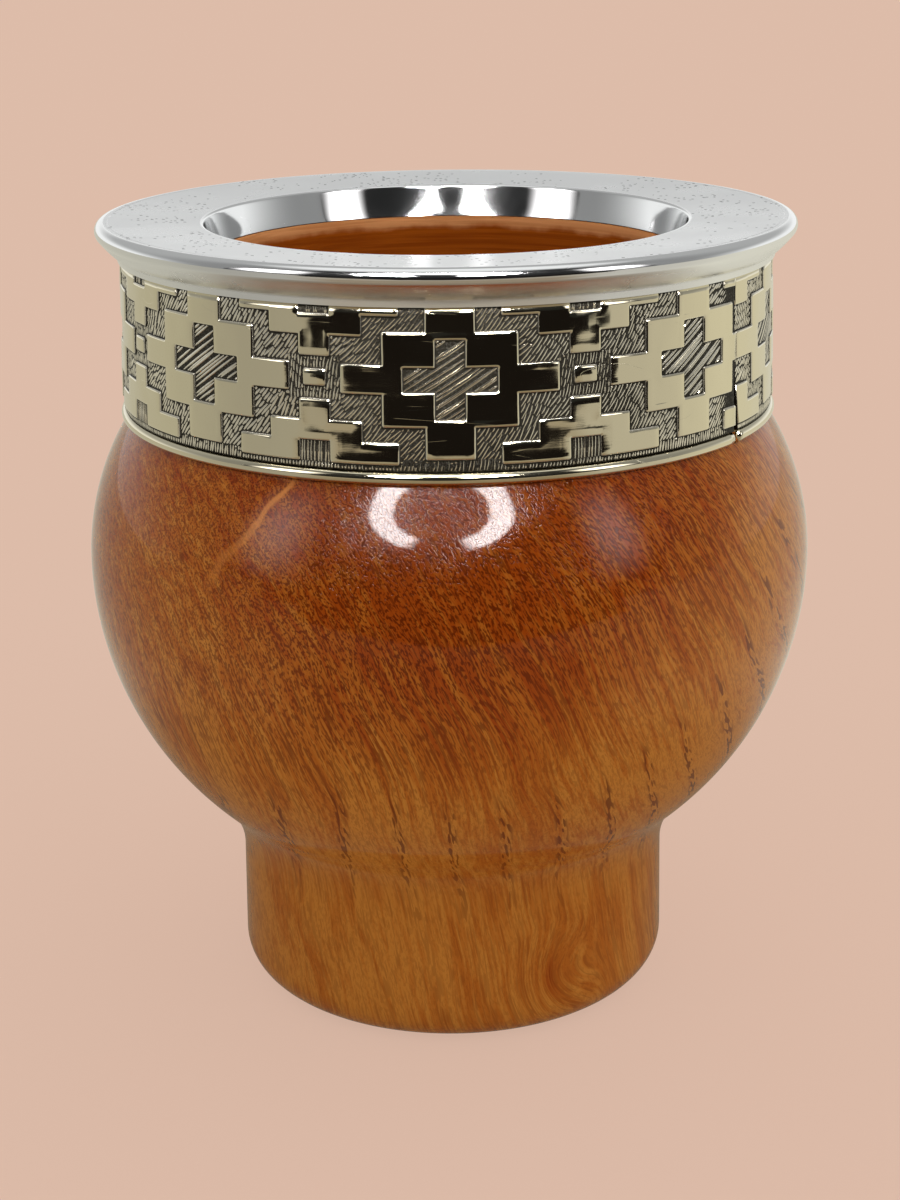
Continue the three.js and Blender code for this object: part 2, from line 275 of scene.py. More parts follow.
class Effects:
    """Shader effects that more than one finish uses, each a node group that is built once."""

    def __init__(self) -> None:
        """Builds the groups."""
        self.streaks = self._streaks()
        self.turning = self._turning()
        self.handling = self._handling()
        self.pits = self._pits()

    @staticmethod
    def _streaks() -> Tree:
        """Noise drawn out along one direction.

        Returns:
            A group that reads noise at a place whose third number runs along the streaks.
        """
        inputs = {"Vector": "Vector", "Across": "Float", "Along": "Float", "Detail": "Float"}
        graph, start = new_group("streaks", "ShaderNodeTree", inputs, {"Value": "Float"})
        place, across, along, detail = (start.outputs[name] for name in inputs)
        x, y, z = graph.parts(place)
        drawn = graph.joined(graph.over(x, across), graph.over(y, across), graph.over(z, along))
        graph.node("NodeGroupOutput", {"Value": graph.noise(drawn, 1.0, detail)})
        return graph.tree

    def _turning(self) -> Tree:
        """Noise drawn out round the turning axis, as the marks of a lathe tool are.

        Returns:
            A group that reads noise by radius and height, and slowly along the cut.
        """
        inputs = {"Across": "Float", "Along": "Float", "Detail": "Float"}
        graph, start = new_group("turning_marks", "ShaderNodeTree", inputs, {"Value": "Float"})
        x, y, z = graph.parts(graph.place)
        radius = graph.measure("LENGTH", graph.joined(x, y, 0.0))
        sizes = {name: start.outputs[name] for name in inputs}
        marks = graph.group(self.streaks, {"Vector": graph.joined(radius, z, graph.plus(x, y)), **sizes})
        graph.node("NodeGroupOutput", {"Value": marks.outputs[0]})
        return graph.tree

    @staticmethod
    def _handling() -> Tree:
        """Traces of handling: a cloudy film and hair-fine scratches.

        Returns:
            A group that gives the film's mask and the scratches' height.
        """
        inputs = {"Vector": "Vector", "Film Size": "Float", "Scratch Size": "Float"}
        outputs = {"Film": "Float", "Scratches": "Float"}
        graph, start = new_group("handling", "ShaderNodeTree", inputs, outputs)
        place = start.outputs["Vector"]
        film = graph.noise(place, graph.over(1.0, start.outputs["Film Size"]), 4.0, 0.6)
        rate = graph.over(1.0, start.outputs["Scratch Size"])
        lines = graph.noise(graph.vector("MULTIPLY", place, (0.12, 1.0, 1.6)), rate, 0.0, 0.3)
        thin = graph.remap(graph.math("ABSOLUTE", graph.minus(lines, 0.5)), 0.006, 0.0)
        rare = graph.remap(graph.noise(place, graph.times(rate, 0.6), 0.0), 0.55, 0.7)
        traces = {"Film": graph.remap(film, 0.35, 0.7), "Scratches": graph.times(thin, rare)}
        graph.node("NodeGroupOutput", traces)
        return graph.tree

    @staticmethod
    def _pits() -> Tree:
        """Small round pits that gather in patches.

        Returns:
            A group that gives 1 in a pit and 0 elsewhere.
        """
        inputs = {"Vector": "Vector", "Spacing": "Float", "Size": "Float", "Patches": "Float"}
        graph, start = new_group("pits", "ShaderNodeTree", inputs, {"Mask": "Float"})
        place = start.outputs["Vector"]
        rate = graph.over(1.0, start.outputs["Spacing"])
        cells = graph.node("ShaderNodeTexVoronoi", {"Vector": place, "Scale": rate, "Randomness": 1.0})
        hole = graph.math("LESS_THAN", cells.outputs["Distance"], start.outputs["Size"])
        patch = graph.noise(place, graph.over(1.0, start.outputs["Patches"]), 1.0)
        pick = graph.parts(cells.outputs["Color"])[0]
        chosen = graph.math("LESS_THAN", pick, graph.remap(patch, 0.42, 0.7, 0.04, 0.8))
        graph.node("NodeGroupOutput", {"Mask": graph.times(hole, chosen)})
        return graph.tree


class Surface(Graph):
    """A material under construction, with one Principled shader and the effects that finishes share."""

    def __init__(self, name: str, effects: Effects | None, constants: dict[str, Feed]) -> None:
        """Starts the material.

        Args:
            name: name of the material.
            effects: shared node groups, where it uses any.
            constants: fixed inputs of its shader, by name.
        """
        self.material = bpy.data.materials.new(name)
        self.material.use_nodes = True
        self.material.node_tree.nodes.clear()
        super().__init__(self.material.node_tree)
        self.effects = effects
        self.shader = self.node("ShaderNodeBsdfPrincipled", constants)
        self.node("ShaderNodeOutputMaterial", {"Surface": self.shader.outputs[0]})

    def mask(self, mask: Mask) -> Socket:
        """The number that the mesh carries under a mask's name."""
        return self.node("ShaderNodeAttribute", attribute_name=mask.value).outputs["Fac"]

    def streaks(self, grain: Socket, across: float, along: float, detail: float) -> Socket:
        """Noise around 0.5 in streaks of a width and a length, drawn out along the fibres."""
        inputs = {"Vector": grain, "Across": across, "Along": along, "Detail": detail}
        return self.group(self.effects.streaks, inputs).outputs[0]

    def turned(self, across: float, along: float, detail: float) -> Socket:
        """Turning marks of a width and a length, as noise around 0.5."""
        inputs = {"Across": across, "Along": along, "Detail": detail}
        return self.group(self.effects.turning, inputs).outputs[0]

    def handled(self, film_size: float, scratch_size: float) -> tuple[Socket, Socket]:
        """Mask of the film and height of the scratches that handling leaves."""
        inputs = {"Vector": self.place, "Film Size": film_size, "Scratch Size": scratch_size}
        return tuple(self.group(self.effects.handling, inputs).outputs)

    def pitted(self, spacing: float, size: float, patches: float) -> Socket:
        """Mask of pits, from their spacing, their size as a share of it and the size of a patch of them."""
        inputs = {"Vector": self.place, "Spacing": spacing, "Size": size, "Patches": patches}
        return self.group(self.effects.pits, inputs).outputs[0]

    def dress(self, **feeds: Feed) -> None:
        """Feeds inputs of the shader, whose names are written with _ for a space."""
        for name, value in feeds.items():
            self.feed(self.shader.inputs[name.replace("_", " ")], value)

    def finish(self, colour: Feed, roughness: Feed, relief: Socket, depth: float) -> Material:
        """Ends the material with its colour, its roughness and a fine relief.

        Args:
            colour: colour of the surface.
            roughness: its roughness.
            relief: height of the relief, from 0 to 1.
            depth: how high 1 stands, in millimetres.

        Returns:
            The material.
        """
        bump = self.node("ShaderNodeBump", {"Height": relief, "Distance": depth * MM, "Strength": 1.0})
        self.dress(Base_Color=colour, Roughness=roughness, Normal=bump.outputs[0])
        return self.material


@dataclass(frozen=True)
class VarnishedWood:
    """Orange-brown hardwood under gloss varnish.

    The five kinds of streak are each a width, a length and a number of finer layers. handling is the size of
    a patch of film and of a scratch.
    """

    pale: Colour = (0.5, 0.182, 0.027)
    middle: Colour = (0.4, 0.108, 0.011)
    deep: Colour = (0.3, 0.05, 0.0035)
    pore: Colour = (0.1, 0.0125, 0.001)
    pore_share: float = 0.9
    pore_depth: float = 0.007
    vein: Colour = (0.66, 0.235, 0.045)
    vein_from: Triple = (-15.5, -32.0, 66.1)
    vein_to: Triple = (-23.4, -31.7, 56.8)
    vein_width: float = 0.34
    vein_spread: float = 2.6
    vein_bow: float = 1.6
    lean: float = 0.18
    lean_gain: float = 0.0059
    lean_from: float = 25.0
    sway: float = 2.6
    slant: float = 0.26
    flat_sawn: float = 0.3
    ring_width: float = 5.6
    ring_slant: float = 0.22
    dark_heart: Triple = (3.0, -32.0, 64.0)
    knot: Triple = (11.6, -21.6, 7.2)
    knot_reach: float = 7.5
    knot_pull: float = 3.4
    specks: Triple = (0.2, 1.0, 1.0)
    drawn: Triple = (0.22, 7.0, 1.0)
    dashes: Triple = (0.29, 2.2, 0.0)
    lines: Triple = (0.36, 20.0, 1.5)
    bundles: Triple = (1.3, 24.0, 2.0)
    downwards: Triple = (0.45, 0.0, -0.9)
    gloss: float = 0.035
    film: float = 0.025
    handling: Point = (14.0, 5.0)
    orange_peel: float = 1.2

    def build(self, effects: Effects) -> Material:
        """Makes the material.

        Args:
            effects: shared node groups.

        Returns:
            The material.
        """
        wood = Surface(Slot.WOOD.value, effects, {"IOR": 1.26, "Coat Weight": 0.12, "Coat Roughness": 0.03})
        grain = self._grain(wood)
        pores = self._pores(wood, grain)
        tone = wood.mix(wood.times(pores, self.pore_share), self._tone_with_painted_light(wood, grain), self.pore)
        film, _ = wood.handled(*self.handling)
        roughness = wood.plus(wood.times(film, self.film), self.gloss)
        relief = wood.minus(wood.times(wood.noise(wood.place, 0.3), self.orange_peel), pores)
        return wood.finish(self._vein(wood, tone), roughness, relief, self.pore_depth)

    def _grain(self, wood: Surface) -> Socket:
        """Place in the wood's own frame: growth rings follow its first number, fibres its third.

        Args:
            wood: material to add to.

        Returns:
            The place in the wood, in millimetres.
        """
        x, y, z = wood.parts(wood.place)
        high = wood.math("MAXIMUM", wood.minus(z, self.lean_from), 0.0)
        sway = wood.times(wood.minus(wood.noise(wood.place, 0.06, 1.0), 0.5), self.sway)
        from_knot = wood.measure("DISTANCE", wood.place, self.knot)
        pull = wood.remap(from_knot, self.knot_reach, 0.0, 0.0, self.knot_pull)
        across = wood.plus(x, wood.times(z, self.lean), wood.times(high, high, self.lean_gain), sway, pull)
        depth = wood.plus(y, wood.times(z, self.slant))
        return wood.joined(across, wood.times(depth, self.flat_sawn), z)

    def _ring(self, wood: Surface, grain: Socket) -> Socket:
        """Place between two growth rings, from 0 at one to 1 at the next."""
        bent = wood.measure("DOT_PRODUCT", grain, (1.0, self.ring_slant / self.flat_sawn, 0.0))
        return wood.math("FRACT", wood.over(bent, self.ring_width))

    def _pores(self, wood: Surface, grain: Socket) -> Socket:
        """Dark pores: fine specks everywhere, long dashes in rows along the growth rings lower down.

        Args:
            wood: material to add to.
            grain: place in the wood.

        Returns:
            1 in a pore and 0 beside it.
        """
        lower = wood.remap(wood.measure("DOT_PRODUCT", wood.place, self.downwards), -52.0, -20.0)
        from_heart = wood.measure("DISTANCE", wood.place, self.dark_heart)
        unflattened = wood.vector("MULTIPLY", grain, (1.0, 1.0 / self.flat_sawn, 1.0))
        specks = wood.times(
            wood.remap(wood.streaks(unflattened, *self.specks), 0.51, 0.4),
            wood.remap(lower, 0.0, 1.0, 0.95, 0.4),
            wood.remap(from_heart, 44.0, 14.0, 0.5, 1.0),
        )
        drawn = wood.times(
            wood.remap(wood.streaks(grain, *self.drawn), 0.45, 0.35),
            wood.remap(lower, 0.0, 1.0, 0.7, 0.35),
        )
        off_row = wood.math("ABSOLUTE", wood.minus(self._ring(wood, grain), 0.5))
        dashes = wood.times(
            wood.remap(wood.streaks(grain, *self.dashes), 0.48, 0.42),
            wood.remap(off_row, 0.33, 0.45),
            wood.remap(lower, 0.25, 0.5),
            wood.remap(from_heart, 27.0, 33.0),
            wood.remap(wood.parts(wood.place)[2], 12.0, 27.0, 0.3, 0.85),
        )
        return wood.math("MAXIMUM", wood.math("MAXIMUM", specks, drawn), dashes)

    def _tone_with_painted_light(self, wood: Surface, grain: Socket) -> Socket:
        """Colour of the wood between its pores: growth rings, fibre lines, a dark heart in front, and painted
        light that makes the right side lighter.

        Args:
            wood: material to add to.
            grain: place in the wood.

        Returns:
            The colour.
        """
        x, _, z = wood.parts(wood.place)
        from_heart = wood.measure("DISTANCE", wood.place, self.dark_heart)
        from_knot = wood.measure("DISTANCE", wood.place, self.knot)
        lines = wood.remap(wood.streaks(grain, *self.lines), 0.3, 0.7, -0.26, 0.26)
        darkness = wood.plus(
            wood.remap(self._ring(wood, grain), 0.0, 1.0, -0.06, 0.08),
            wood.times(lines, wood.remap(z, 22.0, 46.0, 0.6, 1.0)),
            wood.remap(wood.streaks(grain, *self.bundles), 0.3, 0.7, -0.14, 0.14),
            wood.remap(wood.noise(wood.place, 0.04), 0.3, 0.7, 0.05, 0.33),
            # Painted light: the wood is painted lighter towards the right side, where the light falls
            # stronger.
            wood.remap(x, 6.0, 36.0, 0.0, -0.22),
            wood.remap(from_knot, 3.6, 1.0, 0.0, 0.25),
            wood.remap(from_heart, 36.0, 8.0, 0.0, 0.55),
            wood.remap(z, 30.0, 64.0, 0.0, 0.25),
        )
        lower = wood.mix(wood.remap(darkness, 0.0, 0.5), self.pale, self.middle)
        return wood.mix(wood.remap(darkness, 0.45, 1.0), lower, self.deep)

    def _vein(self, wood: Surface, tone: Socket) -> Socket:
        """Adds the narrow golden vein that crosses the grain at the upper left.

        Args:
            wood: material to add to.
            tone: colour of the wood.

        Returns:
            The colour with the vein.
        """
        start, end = Vector(self.vein_from), Vector(self.vein_to)
        run = end - start
        outwards = Vector((start.x + end.x, start.y + end.y, 0.0)).normalized()
        side = run.cross(outwards).normalized()
        from_start = wood.vector("SUBTRACT", wood.place, self.vein_from)
        bow = wood.times(wood.minus(wood.noise(wood.place, 0.3, 1.0), 0.5), self.vein_bow)
        off = wood.math("ABSOLUTE", wood.plus(wood.measure("DOT_PRODUCT", from_start, tuple(side)), bow))
        along = wood.measure("DOT_PRODUCT", from_start, tuple(run / run.length_squared))
        width = wood.remap(along, -0.2, 1.2, self.vein_width, self.vein_width * self.vein_spread)
        mask = wood.times(
            wood.remap(wood.over(off, width), 1.0, 0.25),
            wood.remap(along, -0.15, 0.05),
            wood.remap(along, 1.25, 0.85),
            wood.remap(along, 0.05, 0.9, 0.75, 0.3),
            wood.math("LESS_THAN", wood.parts(wood.place)[1], 0.0),
        )
        return wood.mix(mask, tone, self.vein)


@dataclass(frozen=True)
class BareWood:
    """The same wood without varnish, darkened in the hollow and with a paler band at the mouth."""

    soaked: Colour = (0.33, 0.075, 0.006)
    fibre: Colour = (0.25, 0.05, 0.004)
    pale_band: Colour = (0.66, 0.29, 0.11)
    pale_from: float = 83.05
    pale_blend: float = 0.9
    ragged: float = 1.5
    marks: Triple = (0.5, 14.0, 2.0)
    depth: float = 0.03

    def build(self, effects: Effects) -> Material:
        """Makes the material.

        Args:
            effects: shared node groups.

        Returns:
            The material.
        """
        wood = Surface("bare_wood", effects, {"Specular IOR Level": 0.0})
        fibres = wood.remap(wood.turned(*self.marks), 0.3, 0.7)
        dark = wood.mix(fibres, self.fibre, self.soaked)
        ragged = wood.times(wood.noise(wood.place, 0.28, 3.0), self.ragged)
        height = wood.plus(wood.parts(wood.place)[2], ragged)
        # The wood is coloured paler in a ragged band at the top of the bore.
        edge = wood.remap(height, self.pale_from, self.pale_from + self.pale_blend)
        pale_band = wood.mix(wood.remap(fibres, 0.0, 1.0, 0.35, 0.0), self.pale_band, self.soaked)
        roughness = wood.remap(fibres, 0.0, 1.0, 0.75, 0.6)
        return wood.finish(wood.mix(edge, dark, pale_band), roughness, fibres, self.depth)


@dataclass(frozen=True)
class CastAluminium:
    """Cast aluminium: satin flange with casting pits and turning lines, polished edge and throat."""

    metal: Colour = (0.86, 0.865, 0.87)
    pit: Colour = (0.03, 0.03, 0.03)
    satin: float = 0.27
    polished: float = 0.055
    pits: Triple = (0.72, 0.25, 6.0)
    lines: Triple = (0.09, 40.0, 1.0)
    line_relief: Point = (0.008, 0.05)
    handling: Point = (9.0, 4.0)
    film: float = 0.06
    scratch: float = 0.08
    depth: float = 0.03

    def build(self, effects: Effects) -> Material:
        """Makes the material.

        Args:
            effects: shared node groups.

        Returns:
            The material.
        """
        metal = Surface(Slot.ALUMINIUM.value, effects, {"Metallic": 1.0})
        satin = metal.mask(Mask.SATIN)
        pits = metal.times(metal.pitted(*self.pits), metal.remap(satin, 0.8, 0.95))
        film, scratches = metal.handled(*self.handling)
        level = metal.remap(satin, 0.0, 1.0, self.polished, self.satin)
        strength = metal.plus(metal.times(satin, self.line_relief[1]), self.line_relief[0])
        cuts = metal.plus(pits, metal.times(scratches, self.scratch))
        relief = metal.minus(metal.times(metal.turned(*self.lines), strength), cuts)
        roughness = metal.plus(level, metal.times(film, self.film))
        return metal.finish(metal.mix(pits, self.metal, self.pit), roughness, relief, self.depth)


@dataclass(frozen=True)
class NickelSilver:
    """Nickel silver: polished plates and bead over a ground that has darkened in its cuts."""

    metal: Colour = (0.78, 0.715, 0.528)
    cut: Colour = (0.85, 0.8, 0.67)
    tarnish: Colour = (0.028, 0.025, 0.019)
    polished: float = 0.05
    ground: float = 0.45
    chased: float = 0.13
    lines: Triple = (0.08, 12.0, 1.0)
    line_relief: float = 0.03
    handling: Point = (6.0, 3.0)
    film: float = 0.04
    scratch: float = 0.1
    depth: float = 0.04

    def build(self, effects: Effects) -> Material:
        """Makes the material.

        Args:
            effects: shared node groups.

        Returns:
            The material.
        """
        metal = Surface(Slot.NICKEL_SILVER.value, effects, {"Metallic": 1.0})
        polish = metal.mask(Mask.POLISH)
        grain = metal.noise(metal.place, 6.0, 3.0, 0.7)
        film, scratches = metal.handled(*self.handling)
        clean = metal.remap(metal.plus(polish, metal.remap(grain, 0.3, 0.7, -0.12, 0.12)), 0.1, 0.75)
        plate = metal.remap(polish, 0.82, 0.97)
        colour = metal.mix(clean, self.tarnish, metal.mix(plate, self.cut, self.metal))
        smooth = metal.remap(plate, 0.0, 1.0, self.chased, self.polished)
        level = metal.math("MAXIMUM", metal.remap(clean, 0.0, 1.0, self.ground, self.polished), smooth)
        rough = metal.times(grain, metal.remap(clean, 0.0, 1.0, 1.0, 0.0))
        lines = metal.times(metal.turned(*self.lines), self.line_relief)
        relief = metal.plus(rough, metal.minus(lines, metal.times(scratches, self.scratch)))
        return metal.finish(colour, metal.plus(level, metal.times(film, self.film)), relief, self.depth)


@dataclass(frozen=True)
class SetAdhesive:
    """Set adhesive, cloudy and slightly pitted."""

    colour: Colour = (0.42, 0.34, 0.2)
    stain: Colour = (0.16, 0.09, 0.04)
    bubbles: Triple = (0.7, 0.25, 3.0)
    depth: float = 0.05

    def build(self, effects: Effects) -> Material:
        """Makes the material.

        Args:
            effects: shared node groups.

        Returns:
            The material.
        """
        adhesive = Surface(Slot.ADHESIVE.value, effects, {})
        cloud = adhesive.noise(adhesive.place, 0.5, 3.0)
        colour = adhesive.mix(adhesive.remap(cloud, 0.4, 0.7), self.colour, self.stain)
        relief = adhesive.minus(cloud, adhesive.pitted(*self.bubbles))
        return adhesive.finish(colour, adhesive.remap(cloud, 0.3, 0.7, 0.35, 0.6), relief, self.depth)


def piece_from(name: str, mesh: bpy.types.Mesh) -> bpy.types.Object:
    """Puts a mesh in the scene as an object at the origin.

    Args:
        name: name of the object.
        mesh: its mesh.

    Returns:
        The object.
    """
    piece = bpy.data.objects.new(name, mesh)
    bpy.context.scene.collection.objects.link(piece)
    return piece


def masked_mesh(
    name: str, points: np.ndarray, mask: Mask, values: np.ndarray,
    edges: list[tuple[int, int]] = (), faces: list[list[int]] = (),
) -> bpy.types.Mesh:
    """Mesh whose vertices carry a mask.

    Args:
        name: name of the mesh.
        points: places of the vertices, in millimetres.
        mask: attribute that the vertices carry.
        values: its value at each vertex.
        edges: pairs of vertices, for bare lines that a geometry tree gives a body.
        faces: rings of vertices.

    Returns:
        The mesh, in metres.
    """
    mesh = bpy.data.meshes.new(name)
    mesh.from_pydata((points * MM).tolist(), edges, faces)
    values = np.ravel(values).astype(np.float32)
    mesh.attributes.new(mask.value, "FLOAT", "POINT").data.foreach_set("value", values)
    return mesh


def grid_faces(rows: int, columns: int) -> list[list[int]]:
    """Four-sided faces over a grid of vertices that are numbered row by row.

    Args:
        rows: number of rows.
        columns: number of vertices in a row.

    Returns:
        The faces.
    """
    i, j = np.meshgrid(np.arange(rows - 1), np.arange(columns - 1), indexing="ij")
    here = (i * columns + j).ravel()
    return np.stack([here, here + columns, here + columns + 1, here + 1], axis=1).tolist()


def settle(piece: bpy.types.Object, tree: Tree, inputs: dict[str, object]) -> None:
    """Runs a geometry tree on a piece and keeps the result as its plain mesh.

    Args:
        piece: object whose mesh the tree starts from.
        tree: geometry tree.
        inputs: values of its inputs, by name.
    """
    modifier = piece.modifiers.new(tree.name, "NODES")
    modifier.node_group = tree
    for item in tree.interface.items_tree:
        if item.item_type == "SOCKET" and item.in_out == "INPUT" and item.name in inputs:
            modifier[item.identifier] = inputs[item.name]
    graph = bpy.context.evaluated_depsgraph_get()
    mesh = bpy.data.meshes.new_from_object(piece.evaluated_get(graph))
    piece.modifiers.remove(modifier)
    piece.data = mesh


def close_up(mesh: bpy.types.Mesh) -> None:
    """Closes open ends of a mesh and turns its faces outwards.

    Args:
        mesh: mesh to mend in place.
    """
    work = bmesh.new()
    work.from_mesh(mesh)
    bmesh.ops.holes_fill(work, edges=[e for e in work.edges if e.is_boundary], sides=0)
    bmesh.ops.recalc_face_normals(work, faces=work.faces)
    work.to_mesh(mesh)
    work.free()


class Form(Graph):
    """A geometry tree under construction, which gives bare lines a body, a mask and a finish."""

    def __init__(self, name: str, sizes: dict[str, str]) -> None:
        """Starts the tree.

        Args:
            name: name of the tree.
            sizes: kind of each input that sets a size, by name.
        """
        inputs = {"Lines": "Geometry", **sizes, "Mask": "String", "Finish": "Material"}
        graph, self.start = new_group(name, "GeometryNodeTree", inputs, {"Form": "Geometry"})
        super().__init__(graph.tree)

    def given(self, name: str) -> Socket:
        """One of the tree's inputs."""
        return self.start.outputs[name]

    def named(self) -> Socket:
        """Value of the mask on the geometry."""
        inputs = {0: self.given("Mask")}
        return self.node("GeometryNodeInputNamedAttribute", inputs, data_type="FLOAT").outputs[0]

    def sampled(self, value: Socket, row: Socket, data_type: str) -> Socket:
        """Value at one vertex of the lines."""
        inputs = {0: self.given("Lines"), 1: value, "Index": row}
        return self.node("GeometryNodeSampleIndex", inputs, data_type=data_type).outputs[0]

    def marked(self, geometry: Socket, value: Socket) -> Socket:
        """Geometry that carries a value as its mask."""
        inputs = {"Geometry": geometry, "Name": self.given("Mask"), "Value": value}
        return self.node("GeometryNodeStoreNamedAttribute", inputs, data_type="FLOAT").outputs[0]

    def shaded(self, geometry: Socket, smooth: bool, domain: str, where: Feed = True) -> Socket:
        """Geometry with smooth or flat shading where it is asked for."""
        inputs = {"Geometry": geometry, "Selection": where, "Shade Smooth": smooth}
        return self.node("GeometryNodeSetShadeSmooth", inputs, domain=domain).outputs[0]

    def put_out(self, geometry: Socket) -> Tree:
        """Ends the tree: real geometry that wears its finish.

        Args:
            geometry: the finished form.

        Returns:
            The tree.
        """
        real = self.node("GeometryNodeRealizeInstances", {0: geometry}).outputs[0]
        dressed = self.node("GeometryNodeSetMaterial", {"Geometry": real, "Material": self.given("Finish")})
        self.node("NodeGroupOutput", {0: dressed.outputs[0]})
        return self.tree


def turning_tree() -> Tree:
    """Geometry tree that turns an outline about the upright axis.

    Returns:
        The tree. Its outline is a row of vertices with radius in X and height in Z.
    """
    form = Form("turned_form", {"Segments": "Int", "Start": "Float", "Sweep": "Float", "Crease": "Float"})
    count = form.node("GeometryNodeAttributeDomainSize", {0: form.given("Lines")}).outputs["Point Count"]
    columns = form.plus(form.given("Segments"), 1)
    grid = {"Size X": 1.0, "Size Y": 1.0, "Vertices X": columns, "Vertices Y": count}
    sheet = form.node("GeometryNodeMeshGrid", grid).outputs["Mesh"]
    position = form.node("GeometryNodeInputPosition").outputs[0]
    u, v, _ = form.parts(position)
    row = form.math("ROUND", form.times(form.plus(v, 0.5), form.minus(count, 1)))
    angle = form.plus(form.given("Start"), form.times(form.given("Sweep"), form.plus(u, 0.5)))
    radius, _, height = form.parts(form.sampled(position, row, "FLOAT_VECTOR"))
    masked = form.marked(sheet, form.sampled(form.named(), row, "FLOAT"))
    x = form.times(radius, form.math("SINE", angle))
    y = form.times(radius, form.math("COSINE", angle), -1.0)
    bent = form.node("GeometryNodeSetPosition", {"Geometry": masked, "Position": form.joined(x, y, height)})
    joined = form.node("GeometryNodeMergeByDistance", {"Geometry": bent.outputs[0], "Distance": 2e-6})
    fold = form.node("GeometryNodeInputMeshEdgeAngle").outputs["Unsigned Angle"]
    sharp = form.math("GREATER_THAN", fold, form.given("Crease"))
    smooth = form.shaded(joined.outputs[0], True, "FACE")
    return form.put_out(form.shaded(smooth, False, "EDGE", sharp))


def stroke_tree() -> Tree:
    """Geometry tree that gives chased strokes their faceted body.

    Returns:
        The tree. It starts from bare lines whose mask is the share of the full thickness.
    """
    form = Form("chased_strokes", {"Thickness": "Float", "Sides": "Int", "Shine": "Float"})
    curves = form.node("GeometryNodeMeshToCurve", {0: form.given("Lines")}).outputs[0]
    radius = form.times(form.named(), form.given("Thickness"))
    sized = form.node("GeometryNodeSetCurveRadius", {"Curve": curves, "Radius": radius}).outputs[0]
    ring = form.node("GeometryNodeCurvePrimitiveCircle", {"Resolution": form.given("Sides"), "Radius": 1.0})
    inputs = {"Curve": sized, "Profile Curve": ring.outputs[0], "Fill Caps": True}
    body = form.node("GeometryNodeCurveToMesh", inputs)
    if "Scale" in body.inputs:
        form.feed(body.inputs["Scale"], radius)
    faceted = form.shaded(body.outputs[0], False, "FACE")
    return form.put_out(form.marked(faceted, form.given("Shine")))


@dataclass
class Workshop:
    """What the sub-assemblies share: effects, geometry trees and materials."""

    effects: Effects = field(default_factory=Effects)
    turning: Tree = field(default_factory=turning_tree)
    strokes: Tree = field(default_factory=stroke_tree)
    crease: float = 28.0
    finishes: dict[Slot, Material] = field(init=False)
    bare_wood: Material = field(init=False)

    def __post_init__(self) -> None:
        """Builds the materials."""
        makers = {
            Slot.WOOD: VarnishedWood(), Slot.ALUMINIUM: CastAluminium(),
            Slot.NICKEL_SILVER: NickelSilver(), Slot.ADHESIVE: SetAdhesive(),
        }
        self.finishes = {slot: maker.build(self.effects) for slot, maker in makers.items()}
        self.bare_wood = BareWood().build(self.effects)

    def turn(
        self, name: str, outline: list[Point], mask: Mask, values: list[float], slot: Slot,
        segments: int = 256, start: float = 0.0, sweep: float = FULL_TURN,
    ) -> bpy.types.Object:
        """Turns an outline into a piece.

        Args:
            name: name of the piece.
            outline: points as radius and height, in millimetres.
            mask: attribute that the outline carries.
            values: its value at each point.
            slot: finish of the piece.
            segments: steps round the axis.
            start: angle of the first step from the front, in degrees.
            sweep: how far the piece goes round.

        Returns:
            The piece.
        """
        points = np.array([(radius, 0.0, height) for radius, height in outline])
        edges = [(k, k + 1) for k in range(len(points) - 1)]
        piece = piece_from(name, masked_mesh(name, points, mask, values, edges))
        settle(piece, self.turning, {
            "Segments": segments, "Start": math.radians(start), "Sweep": math.radians(sweep),
            "Crease": math.radians(self.crease), "Mask": mask.value, "Finish": self.finishes[slot],
        })
        close_up(piece.data)
        return piece

    @staticmethod
    def fit(piece: bpy.types.Object, slot: Slot, *nodes: str) -> None:
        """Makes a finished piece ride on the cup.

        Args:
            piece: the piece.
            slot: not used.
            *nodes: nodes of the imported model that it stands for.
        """
        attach(piece, "root")
        if nodes:
            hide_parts(*nodes)
        LOG.info("%s: %d faces", piece.name, len(piece.data.polygons))


